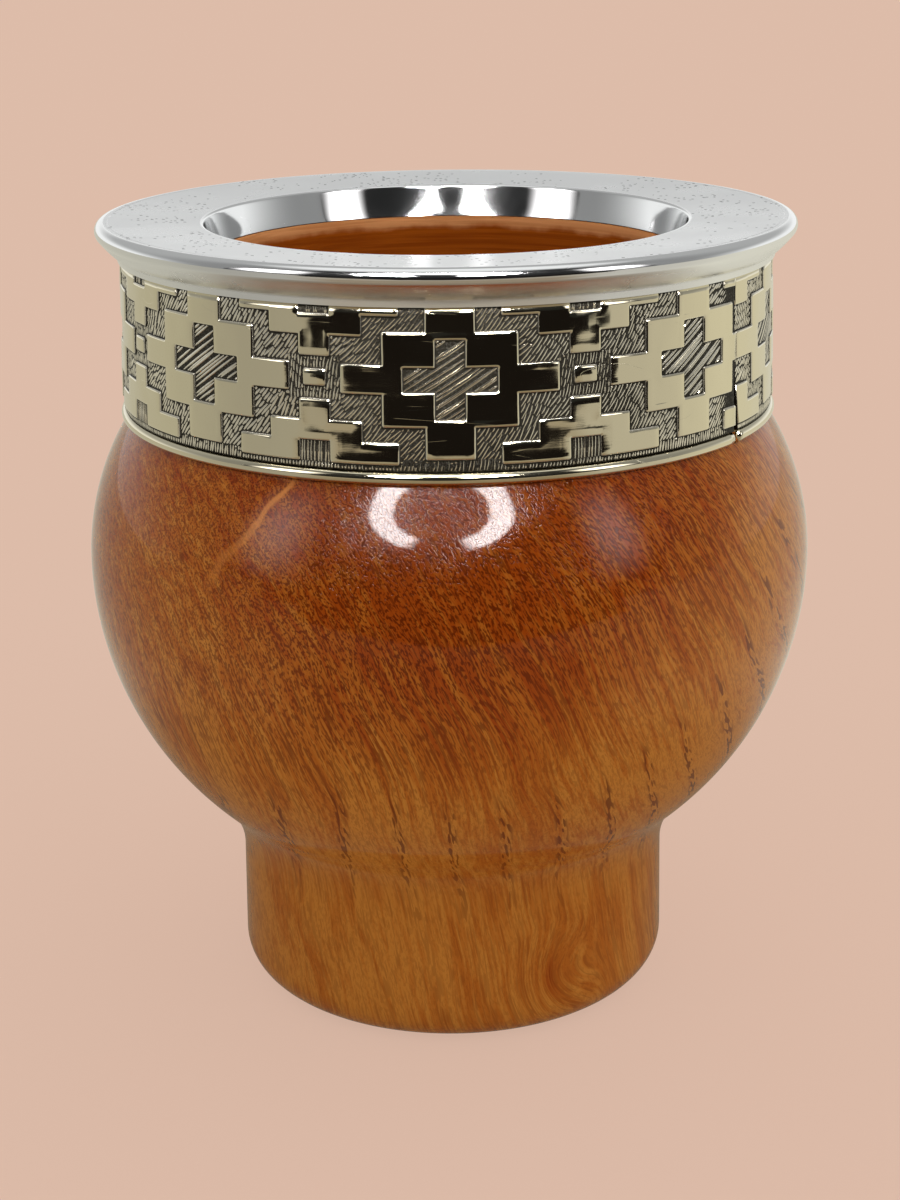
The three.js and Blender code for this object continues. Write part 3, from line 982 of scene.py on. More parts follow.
@dataclass
class TurnedBody:
    """The wooden body: foot, waist, bowl, neck with a tenon for the rim, and the hollow."""

    belly_height: float = 50.6
    foot_radius: float = 24.55
    foot_edge: float = 4.35
    waist_radius: float = 24.4
    waist_height: float = 15.3
    waist_fillet: float = 10.1
    wall: float = 11.0
    ledge_radius: float = 35.19
    ledge_height: float = 66.66
    neck_low: float = 34.73
    neck_high: float = 34.19
    shoulder: float = 83.92
    tenon_top: float = 85.44
    tenon_outer: float = 33.42
    tenon_inner: float = 28.08
    bore: float = 24.9
    bore_chamfer: Point = (0.35, 0.7)

    def build(self, shop: Workshop) -> None:
        """Makes the body and puts it in the place of its plain solid.

        Args:
            shop: shared trees and materials.
        """
        outline, bare = self._outline()
        piece = shop.turn("wood_body", outline, Mask.BARE, bare, Slot.WOOD)
        piece.data.materials.clear()
        for finish in (shop.finishes[Slot.WOOD], shop.bare_wood):
            piece.data.materials.append(finish)
        values = np.zeros(len(piece.data.vertices), np.float32)
        piece.data.attributes[Mask.BARE.value].data.foreach_get("value", values)
        for face in piece.data.polygons:
            face.material_index = int(values[list(face.vertices)].min() > 0.5)
        shop.fit(piece, Slot.WOOD, "turned_body")

    def _outline(self) -> tuple[list[Point], list[float]]:
        """Outline from the middle of the underside round to the middle of the hollow's floor.

        Returns:
            The points, and for each of them 1 where the wood is bare and 0 where it is varnished.
        """
        belly_radius = node_box("turned_body")[1].x
        foot = (self.foot_radius - self.foot_edge, self.foot_edge)
        fillet = (self.waist_radius + self.waist_fillet, self.waist_height)
        reach, rise = fillet[0] - belly_radius, self.belly_height - self.waist_height
        lower = (reach**2 + rise**2 - self.waist_fillet**2) / (2 * (self.waist_fillet - reach))
        lower_centre = (belly_radius - lower, self.belly_height)
        ledge = (self.ledge_radius, self.ledge_height)
        climb, inset = self.ledge_height - self.belly_height, belly_radius - self.ledge_radius
        upper = (climb**2 + inset**2) / (2 * inset)
        upper_centre = (belly_radius - upper, self.belly_height)
        outside = [
            (0.0, 0.0),
            (foot[0] * 0.5, 0.0),
            *arc(foot, self.foot_edge, -90, 0, 14),
            *arc(fillet, self.waist_fillet, 180, angle_of(fillet, lower_centre), 20),
            *arc(lower_centre, lower, angle_of(lower_centre, fillet), 0, 48)[1:],
            *arc(upper_centre, upper, 0, angle_of(upper_centre, ledge), 28)[1:],
            (self.neck_low, self.ledge_height),
            (self.neck_high, self.shoulder),
            (self.tenon_outer, self.shoulder),
            (self.tenon_outer, self.tenon_top),
            (self.tenon_inner, self.tenon_top),
            (self.tenon_inner, self.shoulder),
        ]
        hollow_upper, hollow_lower = upper - self.wall, lower - self.wall
        bore_end = math.degrees(math.acos((self.bore - upper_centre[0]) / hollow_upper))
        inside = [
            (self.bore + self.bore_chamfer[0], self.shoulder),
            (self.bore, self.shoulder - self.bore_chamfer[1]),
            *arc(upper_centre, hollow_upper, bore_end, 0, 16),
            *arc(lower_centre, hollow_lower, 0, -90, 32)[1:],
            (0.0, self.belly_height - hollow_lower),
        ]
        return outside + inside, [0.0] * len(outside) + [1.0] * len(inside)


@dataclass
class CastRim:
    """The cast rim: dished flange, rounded edge, cove, plain lip, socket for the tenon, hollowed throat."""

    height: float = 4.0
    edge: float = 0.93
    edge_under: float = 30.0
    dish: float = 0.5
    mouth: float = 26.11
    mouth_edge: float = 0.3
    throat: float = 25.4
    throat_slope: float = 11.0
    throat_elbow: Point = (25.68, 84.96)
    lip_radius: float = 35.5
    lip_height: float = 0.6
    lip_taper: float = 0.07
    cove_elbow: Point = (0.75, 0.4)
    cove_satin: float = 0.72
    socket_depth: float = 1.9
    socket_inner: float = 28.0
    socket_outer: float = 33.5
    scribed_line: float = 36.25
    scribed_depth: float = 0.04
    scribed_half: float = 0.06

    def build(self, shop: Workshop) -> None:
        """Makes the rim and puts it in the place of its plain solid.

        Args:
            shop: shared trees and materials.
        """
        outline, satin = self._outline()
        piece = shop.turn("rim_casting", outline, Mask.SATIN, satin, Slot.ALUMINIUM, segments=320)
        shop.fit(piece, Slot.ALUMINIUM, "cast_rim")

    def _outline(self) -> tuple[list[Point], list[float]]:
        """Closed outline, from the socket out to the lip, over the flange and down the throat.

        Returns:
            The points, and for each of them 1 on the satin flange, 0 on polished metal and a value
            between them in the cove.
        """
        high = node_box("cast_rim")[1]
        low = high.z - self.height
        edge_centre = (high.x - self.edge, high.z - self.edge)
        edge = arc(edge_centre, self.edge, -self.edge_under, 90, 20)
        lip = (self.lip_radius, low + self.lip_height)
        elbow = (lip[0] + self.cove_elbow[0], lip[1] + self.cove_elbow[1])
        mouth = (self.mouth + self.mouth_edge, high.z - self.dish - self.mouth_edge)
        slope = self.dish / (edge_centre[0] - self.mouth - self.mouth_edge)
        flange = [
            (radius, high.z - (edge_centre[0] - radius) * slope - sink)
            for radius, sink in (
                (edge_centre[0] - 0.1, 0.0), (self.scribed_line + self.scribed_half, 0.0),
                (self.scribed_line, self.scribed_depth), (self.scribed_line - self.scribed_half, 0.0),
                (self.scribed_line - 0.3, 0.0), (31.0, 0.0), (self.mouth + self.mouth_edge + 0.15, 0.0),
            )
        ]
        crease = arc(mouth, self.mouth_edge, 90, 180 - self.throat_slope, 12)
        under = [
            (self.socket_inner, low),
            (self.socket_inner, low + self.socket_depth),
            (self.socket_outer, low + self.socket_depth),
            (self.socket_outer, low),
            (self.lip_radius - self.lip_taper, low),
        ]
        cove = bezier(lip, elbow, edge[0], 16)
        throat = crease + bezier(crease[-1], self.throat_elbow, (self.throat, low), 20)[1:]
        outline = under + cove + edge[1:] + flange + throat + under[:1]
        dulled = [self.cove_satin * min(1.0, (len(cove) - k) / 4) for k in range(len(cove))]
        satin = [0.0] * len(under) + dulled + [0.0] * (len(edge) - 1) + [1.0] * len(flange)
        satin += [0.0] * (len(throat) + 1)
        return outline, satin


@dataclass(frozen=True)
class Bar:
    """A rectangle of the ornament: degrees from a motif's middle or side, millimetres from its middle."""

    left: float
    right: float
    low: float
    high: float


def centred(width: float, height: float) -> Bar:
    """A bar about the middle, from its half width and half height."""
    return Bar(-width, width, -height, height)


@dataclass(frozen=True)
class Ornament:
    """The stepped-cross ornament, in the same sizes as the solid."""

    drop: float = 6.9
    seam: float = 55.0
    front_motif: float = 0.4
    front_pitch: float = 43.2
    back_steps: int = 6
    seam_to_motif: float = 17.5
    cross: tuple[Bar, ...] = (centred(3.85, 7.65), centred(10.6, 4.55), centred(17.2, 1.4))
    plus: tuple[Bar, ...] = (centred(2.4, 3.87), centred(7.4, 1.22))
    stud: tuple[Bar, ...] = (centred(1.9, 0.78),)
    stairs: tuple[Bar, ...] = (
        Bar(-7.8, 7.8, 4.1, 6.1), Bar(2.6, 7.8, 4.1, 8.2), Bar(2.6, 13.6, 6.1, 8.2), Bar(-2.6, 2.6, 2.1, 6.1),
    )
    corner: float = 0.16
    unrolled_radius: float = 35.4

    @property
    def degree(self) -> float:
        """Millimetres along the band for one degree."""
        return math.radians(self.unrolled_radius)

    def centres(self) -> np.ndarray:
        """Angles of the motifs' middles, from the seam once round, in degrees.

        Returns:
            The angles.
        """
        first = self.seam + self.seam_to_motif
        middle = FULL_TURN + self.front_motif
        pitch = (middle - self.front_pitch - first) / self.back_steps
        back = [first + k * pitch for k in range(self.back_steps)]
        return np.array(back + [middle + side * self.front_pitch for side in (-1, 0, 1)])

    def cells(self) -> np.ndarray:
        """For each motif its middle and the half widths of its cell on either side, in degrees.

        Returns:
            A row of three numbers for each motif.
        """
        centres = self.centres()
        gaps = np.diff(centres) / 2
        left = np.concatenate([[(centres[1] - centres[0]) / 2], gaps])
        right = np.concatenate([gaps, [self.front_pitch / 2]])
        return np.stack([centres, left, right], axis=1)

    def _local(self, angle: np.ndarray) -> tuple[np.ndarray, np.ndarray]:
        """Distances of angles from the nearest motif's middle and from the line between two motifs.

        Args:
            angle: angles along the band, in degrees.

        Returns:
            Both distances, in degrees.
        """
        cells = self.cells()
        index = np.searchsorted(cells[:-1, 0] + cells[:-1, 2], angle)
        centre, left, right = np.moveaxis(cells[index], -1, 0)
        across = np.abs(angle - centre)
        return across, np.where(angle < centre, left, right) - across

    def _inside(self, bars: tuple[Bar, ...], along: np.ndarray, up: np.ndarray) -> np.ndarray:
        """How deep places lie inside a union of bars with rounded corners.

        Args:
            bars: the bars.
            along: degrees from the middle of the bars.
            up: millimetres from the centre line.

        Returns:
            Depth in millimetres, negative outside.
        """
        depth = np.full(along.shape, -np.inf)
        for bar in bars:
            x = np.abs(along - (bar.left + bar.right) / 2) - (bar.right - bar.left) / 2
            y = np.abs(up - (bar.low + bar.high) / 2) - (bar.high - bar.low) / 2
            x, y = x * self.degree + self.corner, y + self.corner
            outside = np.hypot(np.maximum(x, 0), np.maximum(y, 0)) + np.minimum(np.maximum(x, y), 0)
            depth = np.maximum(depth, self.corner - outside)
        return depth

    def plate_depth(self, angle: np.ndarray, up: np.ndarray) -> np.ndarray:
        """How deep places lie inside a polished plate.

        Args:
            angle: angles along the band, in degrees.
            up: millimetres from the centre line.

        Returns:
            Depth in millimetres, negative on the ground.
        """
        across, between = self._local(angle)
        height = np.abs(up)
        shapes = ((self.cross, across), (self.stud, between), (self.stairs, between))
        plates = np.max([self._inside(bars, along, height) for bars, along in shapes], axis=0)
        return np.minimum(plates, -self._inside(self.plus, across, height))

    def plus_depth(self, angle: np.ndarray, up: np.ndarray) -> np.ndarray:
        """How deep places lie inside the sunk plus of a cross, in millimetres."""
        return self._inside(self.plus, self._local(angle)[0], np.abs(up))

    def between(self, angle: np.ndarray) -> np.ndarray:
        """Distance from the line between two motifs, in millimetres."""
        return self._local(angle)[1] * self.degree

    def edge_angles(self) -> np.ndarray:
        """Angles of all upright plate edges.

        Returns:
            The angles, in degrees.
        """
        angles = []
        for centre, left, right in self.cells():
            widths = {bar.right for bar in self.cross + self.plus}
            angles += [centre + side * width for width in widths for side in (-1, 1)]
            sides = {bar.right for bar in self.stairs + self.stud}
            sides |= {bar.left for bar in self.stairs if bar.left > 0}
            angles += [centre - left + side for side in sides] + [centre + right - side for side in sides]
        return np.array(angles)

    def edge_heights(self) -> np.ndarray:
        """Heights of all level plate edges over and under the centre line.

        Returns:
            The heights in order, in millimetres.
        """
        bars = self.cross + self.plus + self.stud
        heights = {bar.high for bar in bars + self.stairs} | {bar.low for bar in self.stairs}
        return np.array(sorted(heights | {-h for h in heights}))


def ripple(along: np.ndarray, up: np.ndarray, wave: float, seed: int) -> np.ndarray:
    """Gentle random waves over a sheet.

    Args:
        along: distance along the sheet, in millimetres.
        up: distance across it.
        wave: typical length of a wave.
        seed: seed of their directions and phases.

    Returns:
        Height between about -1 and 1.
    """
    draw = np.random.default_rng(seed)
    total = np.zeros(np.broadcast(along, up).shape)
    count = 7
    for _ in range(count):
        turn, phase = draw.uniform(0, 2 * math.pi, 2)
        length = wave * draw.uniform(0.7, 1.5)
        total += np.sin((along * math.cos(turn) + up * math.sin(turn)) * 2 * math.pi / length + phase)
    return total / count * 1.6


@dataclass(frozen=True)
class Chasing:
    """One way of chasing the sunk ground.

    spacing is the distance between strokes, slope their angle, piece the shortest and longest stroke (0 where
    they run from edge to edge), sway how far their angle drifts, scatter how far it differs from one stroke
    to the next, thickness half their width, sides the faces round one, shine its share of polish, crown its
    height as a share of its width and knots the number of points along it.
    """

    spacing: float
    slope: float
    piece: Point
    sway: float
    scatter: float
    thickness: float
    sides: int
    shine: float
    crown: float
    knots: int = 3


class Hatch(Enum):
    """Ways in which the sunk ground is chased."""

    PLUS = Chasing(0.41, 33.0, (0.0, 0.0), 0.0, 1.5, 0.125, 8, 0.68, 0.5, knots=5)
    WINDOW = Chasing(0.36, 88.0, (0.0, 0.0), 0.0, 3.0, 0.115, 6, 0.68, 0.5)
    FRAME = Chasing(0.34, 82.0, (0.6, 1.5), 8.0, 8.0, 0.12, 4, 0.76, 0.2)
    GROUND = Chasing(0.36, 52.0, (0.7, 2.1), 13.0, 7.0, 0.13, 4, 0.78, 0.18)


@dataclass
class EngravedBand:
    """The sheet-metal band: polished plates over a chased ground, closed by a lapped seam.

    wall gives the share of the relief at depths inside a plate, shine the share of polish: a steep wall, a
    rounded shoulder and a soft crown. hammering and wobble are heights and lengths of waves, and sink keeps
    the waves under the band's radius. lap and tuck move the two ends of the sheet out and in at the seam.
    The margins are kept clear between a stroke and the edge of its field. unevenness shifts a stroke, as a
    share of the spacing, bow bends it and drift is the length over which the angle of strokes wanders.
    """

    ornament: Ornament = field(default_factory=Ornament)
    radius: float = 35.25
    flare: float = 0.5
    sheet: float = 0.5
    relief: float = 0.25
    line_offsets: tuple[float, ...] = (-0.2, -0.05, 0.05, 0.2)
    widest_step: float = 0.9
    closest_lines: float = 0.02
    seam_lean: float = -0.1
    seam_gap: Point = (0.18, 1.2)
    seam_reach: float = 9.0
    lap: float = 0.14
    stroke_step: float = 0.06
    shortest_stroke: float = 0.22
    stroke_end: float = 0.55
    margin: float = 0.1
    ground_margin: float = 0.12
    seam_margin: float = 0.3
    frame_reach: float = 1.2
    unevenness: float = 0.12
    bow: float = 0.03
    drift: float = 9.0
    wall: tuple[Point, ...] = (
        (-0.22, 0.0), (-0.06, -0.04), (0.05, 0.7), (0.2, 0.9), (0.55, 0.97), (1.4, 1.0),
    )
    shine: tuple[Point, ...] = ((-0.24, 0.12), (-0.1, 0.0), (-0.02, 0.0), (0.05, 0.9), (0.2, 1.0))
    hammering: tuple[Point, ...] = ((0.028, 6.5), (0.023, 2.8))
    hammered_from: float = 0.7
    sink: float = 0.055
    wobble: Point = (0.03, 5.0)
    tuck: float = 0.06
    seed: int = 5
    bottom: float = field(init=False)
    top: float = field(init=False)

    def __post_init__(self) -> None:
        """Takes the heights of the band from the frame."""
        low, high = node_box("engraved_band")
        self.bottom, self.top = low.z, high.z

    @property
    def middle(self) -> float:
        """Height of the ornament's centre line."""
        return self.top - self.ornament.drop

    def build(self, shop: Workshop) -> None:
        """Makes the band and its strokes and puts them in the place of the plain solid.

        Args:
            shop: shared trees and materials.
        """
        sheet = piece_from("band_sheet", self._sheet())
        sheet.data.materials.append(shop.finishes[Slot.NICKEL_SILVER])
        shop.fit(sheet, Slot.NICKEL_SILVER, "engraved_band")
        for hatch in Hatch:
            shop.fit(self._stroke_piece(hatch, shop), Slot.NICKEL_SILVER)

    def plate_radius(self, z: np.ndarray) -> np.ndarray:
        """Radius over the plates at a height: the band is a slight cone."""
        return self.radius + self.flare * (self.top - z) / (self.top - self.bottom)

    def _lines(self, edges: np.ndarray, low: float, high: float, unit: float) -> np.ndarray:
        """Grid lines: several beside each edge, and enough in between.

        Args:
            edges: places of the edges.
            low: first line.
            high: last line.
            unit: millimetres for each unit of the places.

        Returns:
            The lines in order.
        """
        offsets = np.array(self.line_offsets) / unit
        lines = np.sort(np.concatenate([(edges[:, None] + offsets).ravel(), [low, high]]))
        lines = lines[(lines >= low) & (lines <= high)]
        kept = [low]
        for line in lines[1:]:
            gap = (line - kept[-1]) * unit
            if gap < self.closest_lines:
                continue
            steps = math.ceil(gap / self.widest_step)
            kept += list(np.linspace(kept[-1], line, steps + 1)[1:])
        return np.array(kept)

    def _place(self, angle: np.ndarray, z: np.ndarray, radius: np.ndarray) -> np.ndarray:
        """Places on the bent band, with its lean and gap at the seam.

        Args:
            angle: angle along the unrolled band, in degrees.
            z: height.
            radius: distance from the axis before the lap.

        Returns:
            The points, in millimetres.
        """
        seam = self.ornament.seam
        before = np.clip((angle - (seam + FULL_TURN - self.seam_reach)) / self.seam_reach, 0, 1) ** 2
        after = np.clip((seam + self.seam_reach - angle) / self.seam_reach, 0, 1) ** 2
        down = (self.top - z) / (self.top - self.bottom)
        lean = self.seam_lean * (2 * down - 1)
        gap = (self.seam_gap[0] + (self.seam_gap[1] - self.seam_gap[0]) * down**3) / self.ornament.degree
        size, wave = self.wobble
        wobble = size * ripple(angle * self.ornament.degree, z, wave, self.seed + 1) / self.ornament.degree
        turned = np.radians(angle + lean * (before + after) + gap * after + wobble)
        lifted = radius + self.lap * before**3 - self.tuck * after**3
        return np.stack([lifted * np.sin(turned), -lifted * np.cos(turned), z + 0 * angle], axis=-1)

    def _sheet(self) -> bpy.types.Mesh:
        """The band's sheet as one closed mesh.

        Returns:
            The mesh, with the share of polish as its mask.
        """
        unit = self.ornament.degree
        seam = self.ornament.seam
        angles = self._lines(self.ornament.edge_angles(), seam, seam + FULL_TURN, unit)
        rows = self._lines(self.middle + self.ornament.edge_heights(), self.bottom, self.top, 1.0)
        angle, z = np.meshgrid(angles, rows, indexing="ij")
        depth = self.ornament.plate_depth(angle, z - self.middle)
        share = np.interp(depth, *zip(*self.wall))
        waves = sum(
            size * ripple(angle * unit, z, wave, self.seed + 2 * k)
            for k, (size, wave) in enumerate(self.hammering)
        )
        plates = np.clip(depth / self.hammered_from, 0, 1) * (waves - self.sink)
        radius = self.plate_radius(z) - self.relief * (1 - share) + plates
        front = self._place(angle, z, radius).reshape(-1, 3)
        ends = np.array([self.bottom, self.top])
        back_angle, back_z = np.meshgrid(angles, ends, indexing="ij")
        back_radius = self.plate_radius(back_z) - self.relief - self.sheet
        back = self._place(back_angle, back_z, back_radius).reshape(-1, 3)
        values = np.append(np.interp(depth, *zip(*self.shine)), np.zeros(len(back)))
        faces = self._sheet_faces(len(angles), len(rows))
        mesh = masked_mesh("band_sheet", np.concatenate([front, back]), Mask.POLISH, values, faces=faces)
        mesh.shade_smooth()
        close_up(mesh)
        return mesh

    @staticmethod
    def _sheet_faces(columns: int, count: int) -> list[list[int]]:
        """Faces of the sheet: its front grid, its plain back and the four rims between them.

        Args:
            columns: number of columns of the front grid, and of pairs on the back.
            count: number of vertices in a column of the front.

        Returns:
            The faces.
        """
        faces = grid_faces(columns, count)
        base = columns * count
        for k in range(columns - 1):
            rear, ahead = base + 2 * k, base + 2 * (k + 1)
            top, top_ahead = k * count + count - 1, (k + 1) * count + count - 1
            faces.append([rear, rear + 1, ahead + 1, ahead])
            faces.append([k * count, rear, ahead, (k + 1) * count])
            faces.append([top, top_ahead, ahead + 1, rear + 1])
        first = list(range(count))
        last = [(columns - 1) * count + j for j in range(count)]
        faces.append([base, *first, base + 1])
        faces.append([base + 2 * columns - 1, *reversed(last), base + 2 * columns - 2])
        return faces

    def _belongs(self, hatch: Hatch, angle: np.ndarray, z: np.ndarray) -> np.ndarray:
        """Whether places are chased in a given way.

        Args:
            hatch: way of chasing.
            angle: places along the band, in degrees.
            z: their heights.

        Returns:
            True where a stroke of that way may lie.
        """
        up = z - self.middle
        plus = self.ornament.plus_depth(angle, up)
        if hatch is Hatch.PLUS:
            return plus > self.margin
        side = self.ornament.between(angle)
        stairs = self.ornament.stairs
        window = side < stairs[1].left * self.ornament.degree - self.margin
        window &= np.abs(up) > stairs[0].high + self.margin
        window &= up > -stairs[1].high
        if hatch is Hatch.WINDOW:
            return window & (z < self.top - self.margin)
        ground = np.maximum(self.ornament.plate_depth(angle, up), plus) < -self.ground_margin
        ground &= ~window
        strip = up < -self.ornament.cross[0].high - 0.05
        framed = side < stairs[3].right * self.ornament.degree + self.frame_reach
        framed &= np.abs(up) < stairs[3].low
        if hatch is Hatch.FRAME:
            return ground & (strip | framed) & (z > self.bottom + self.margin)
        return ground & ~strip & ~framed & (z < self.top - self.margin)

    def _strokes(self, hatch: Hatch) -> list[np.ndarray]:
        """Centre lines of the strokes of one kind.

        Args:
            hatch: way of chasing.

        Returns:
            For each stroke its points as angle and height.
        """
        way = hatch.value
        unit, seam = self.ornament.degree, self.ornament.seam
        draw = np.random.default_rng(self.seed + list(Hatch).index(hatch))
        tilt = math.radians(way.slope)
        height = self.top - self.bottom
        strokes = []
        start, end = seam * unit - height / math.tan(tilt), (seam + FULL_TURN) * unit
        for foot in np.arange(start, end, way.spacing / math.sin(tilt)):
            lean = tilt if way.piece[1] else tilt + math.radians(way.scatter) * draw.uniform(-0.5, 0.5)
            begin = foot + draw.uniform(-self.unevenness, self.unevenness) * way.spacing
            z = np.arange(self.bottom, self.top, self.stroke_step * math.sin(tilt))
            along = begin + (z - self.bottom) / math.tan(lean)
            angle = along / unit
            inside = (angle > seam + self.seam_margin) & (angle < seam + FULL_TURN - self.seam_margin)
            safe = np.clip(angle, seam, seam + FULL_TURN)
            inside &= self._belongs(hatch, safe, z)
            changes = np.flatnonzero(np.diff(np.concatenate([[0], inside.astype(int), [0]])))
            for first, last in zip(changes[::2], changes[1::2]):
                strokes += self._cut(way, draw, np.stack([along[first:last], z[first:last]], axis=1))
        return strokes

    def _cut(self, way: Chasing, draw: np.random.Generator, run: np.ndarray) -> list[np.ndarray]:
        """Cuts the run of a line through one field of the ground into strokes.

        Args:
            way: way of chasing.
            draw: source of chance.
            run: points of the run, as millimetres along the band and height.

        Returns:
            For each stroke its points, as angle and height.
        """
        strokes, first = [], 0
        while first < len(run):
            length = draw.uniform(*way.piece) if way.piece[1] else math.inf
            last = min(first + length / self.stroke_step, len(run))
            if (last - first) * self.stroke_step > self.shortest_stroke:
                points = run[np.linspace(first, last - 1, way.knots).astype(int)]
                middle = points.mean(axis=0)
                sway = way.sway * ripple(*middle, self.drift, self.seed + 3)
                angle = float(sway + way.scatter * draw.uniform(-1, 1))
                turn = math.radians(angle) if way.piece[1] else 0.0
                bow = draw.uniform(-self.bow, self.bow) * np.sin(np.linspace(0, math.pi, way.knots))
                spread = points - middle
                points = middle + np.stack([
                    spread[:, 0] * math.cos(turn) - spread[:, 1] * math.sin(turn) + bow,
                    spread[:, 0] * math.sin(turn) + spread[:, 1] * math.cos(turn),
                ], axis=1)
                points[:, 0] /= self.ornament.degree
                strokes.append(points)
            first = int(last) + 1
        return strokes

    def _stroke_piece(self, hatch: Hatch, shop: Workshop) -> bpy.types.Object:
        """Chases one kind of ground and gives its strokes their body.

        Args:
            hatch: way of chasing.
            shop: shared trees and materials.

        Returns:
            The piece.
        """
        name = f"band_{hatch.name.lower()}_strokes"
        lines = self._strokes(hatch)
        flat = np.concatenate(lines)
        radius = self.plate_radius(flat[:, 1]) - self.relief
        points = self._place(flat[:, 0], flat[:, 1], radius)
        edges, thickness, first = [], [], 0
        for line in lines:
            edges += [(first + k, first + k + 1) for k in range(len(line) - 1)]
            thickness += [self.stroke_end, *[1.0] * (len(line) - 2), self.stroke_end]
            first += len(line)
        piece = piece_from(name, masked_mesh(name, points, Mask.POLISH, thickness, edges))
        way = hatch.value
        settle(piece, shop.strokes, {
            "Thickness": way.thickness * MM, "Sides": way.sides, "Shine": way.shine,
            "Mask": Mask.POLISH.value, "Finish": shop.finishes[Slot.NICKEL_SILVER],
        })
        self._press(piece.data, way.crown)
        return piece

    def _press(self, mesh: bpy.types.Mesh, crown: float) -> None:
        """Flattens strokes towards the ground that they stand on.

        Args:
            mesh: the strokes, changed in place.
            crown: share of their height that is kept.
        """
        places = np.zeros(3 * len(mesh.vertices), np.float32)
        mesh.vertices.foreach_get("co", places)
        x, y, z = places.reshape(-1, 3).T / MM
        reach = np.hypot(x, y)
        ground = self.plate_radius(z) - self.relief
        share = (ground + (reach - ground) * crown) / reach
        mesh.vertices.foreach_set("co", (np.stack([x * share, y * share, z], axis=-1) * MM).ravel())
        mesh.update()


@dataclass
class LowerBead:
    """The half-round bead under the band, open at the seam."""

    inner: float = 34.81
    seam: float = 55.9
    gap: float = 2.0

    def build(self, shop: Workshop) -> None:
        """Makes the bead and puts it in the place of its plain solid.

        Args:
            shop: shared trees and materials.
        """
        low, high = node_box("lower_bead")
        half = (high.z - low.z) / 2
        outline = [
            (self.inner, low.z),
            *arc((high.x - half, low.z + half), half, -90, 90, 16),
            (self.inner, high.z),
            (self.inner, low.z),
        ]
        piece = shop.turn(
            "band_bead", outline, Mask.POLISH, [1.0] * len(outline), Slot.NICKEL_SILVER,
            segments=300, start=self.seam + self.gap / 2, sweep=FULL_TURN - self.gap,
        )
        shop.fit(piece, Slot.NICKEL_SILVER, "lower_bead")


@dataclass
class Adhesives:
    """The two layers of adhesive, whose plain solids keep their shape and get a finish."""

    nodes: tuple[str, ...] = ("rim_adhesive", "band_adhesive")

    def build(self, shop: Workshop) -> None:
        """Dresses the nodes.

        Args:
            shop: shared trees and materials.
        """
        for name in self.nodes:
            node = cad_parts[name]
            node.data.materials.clear()
            node.data.materials.append(shop.finishes[Slot.ADHESIVE])
            LOG.info("%s: dressed", name)


@dataclass(frozen=True)
class Glow:
    """A lit panel on a sphere round the cup, with its azimuth and elevation as ranges in degrees."""

    name: str
    azimuth: Point
    elevation: Point
    strength: float
    distance: float


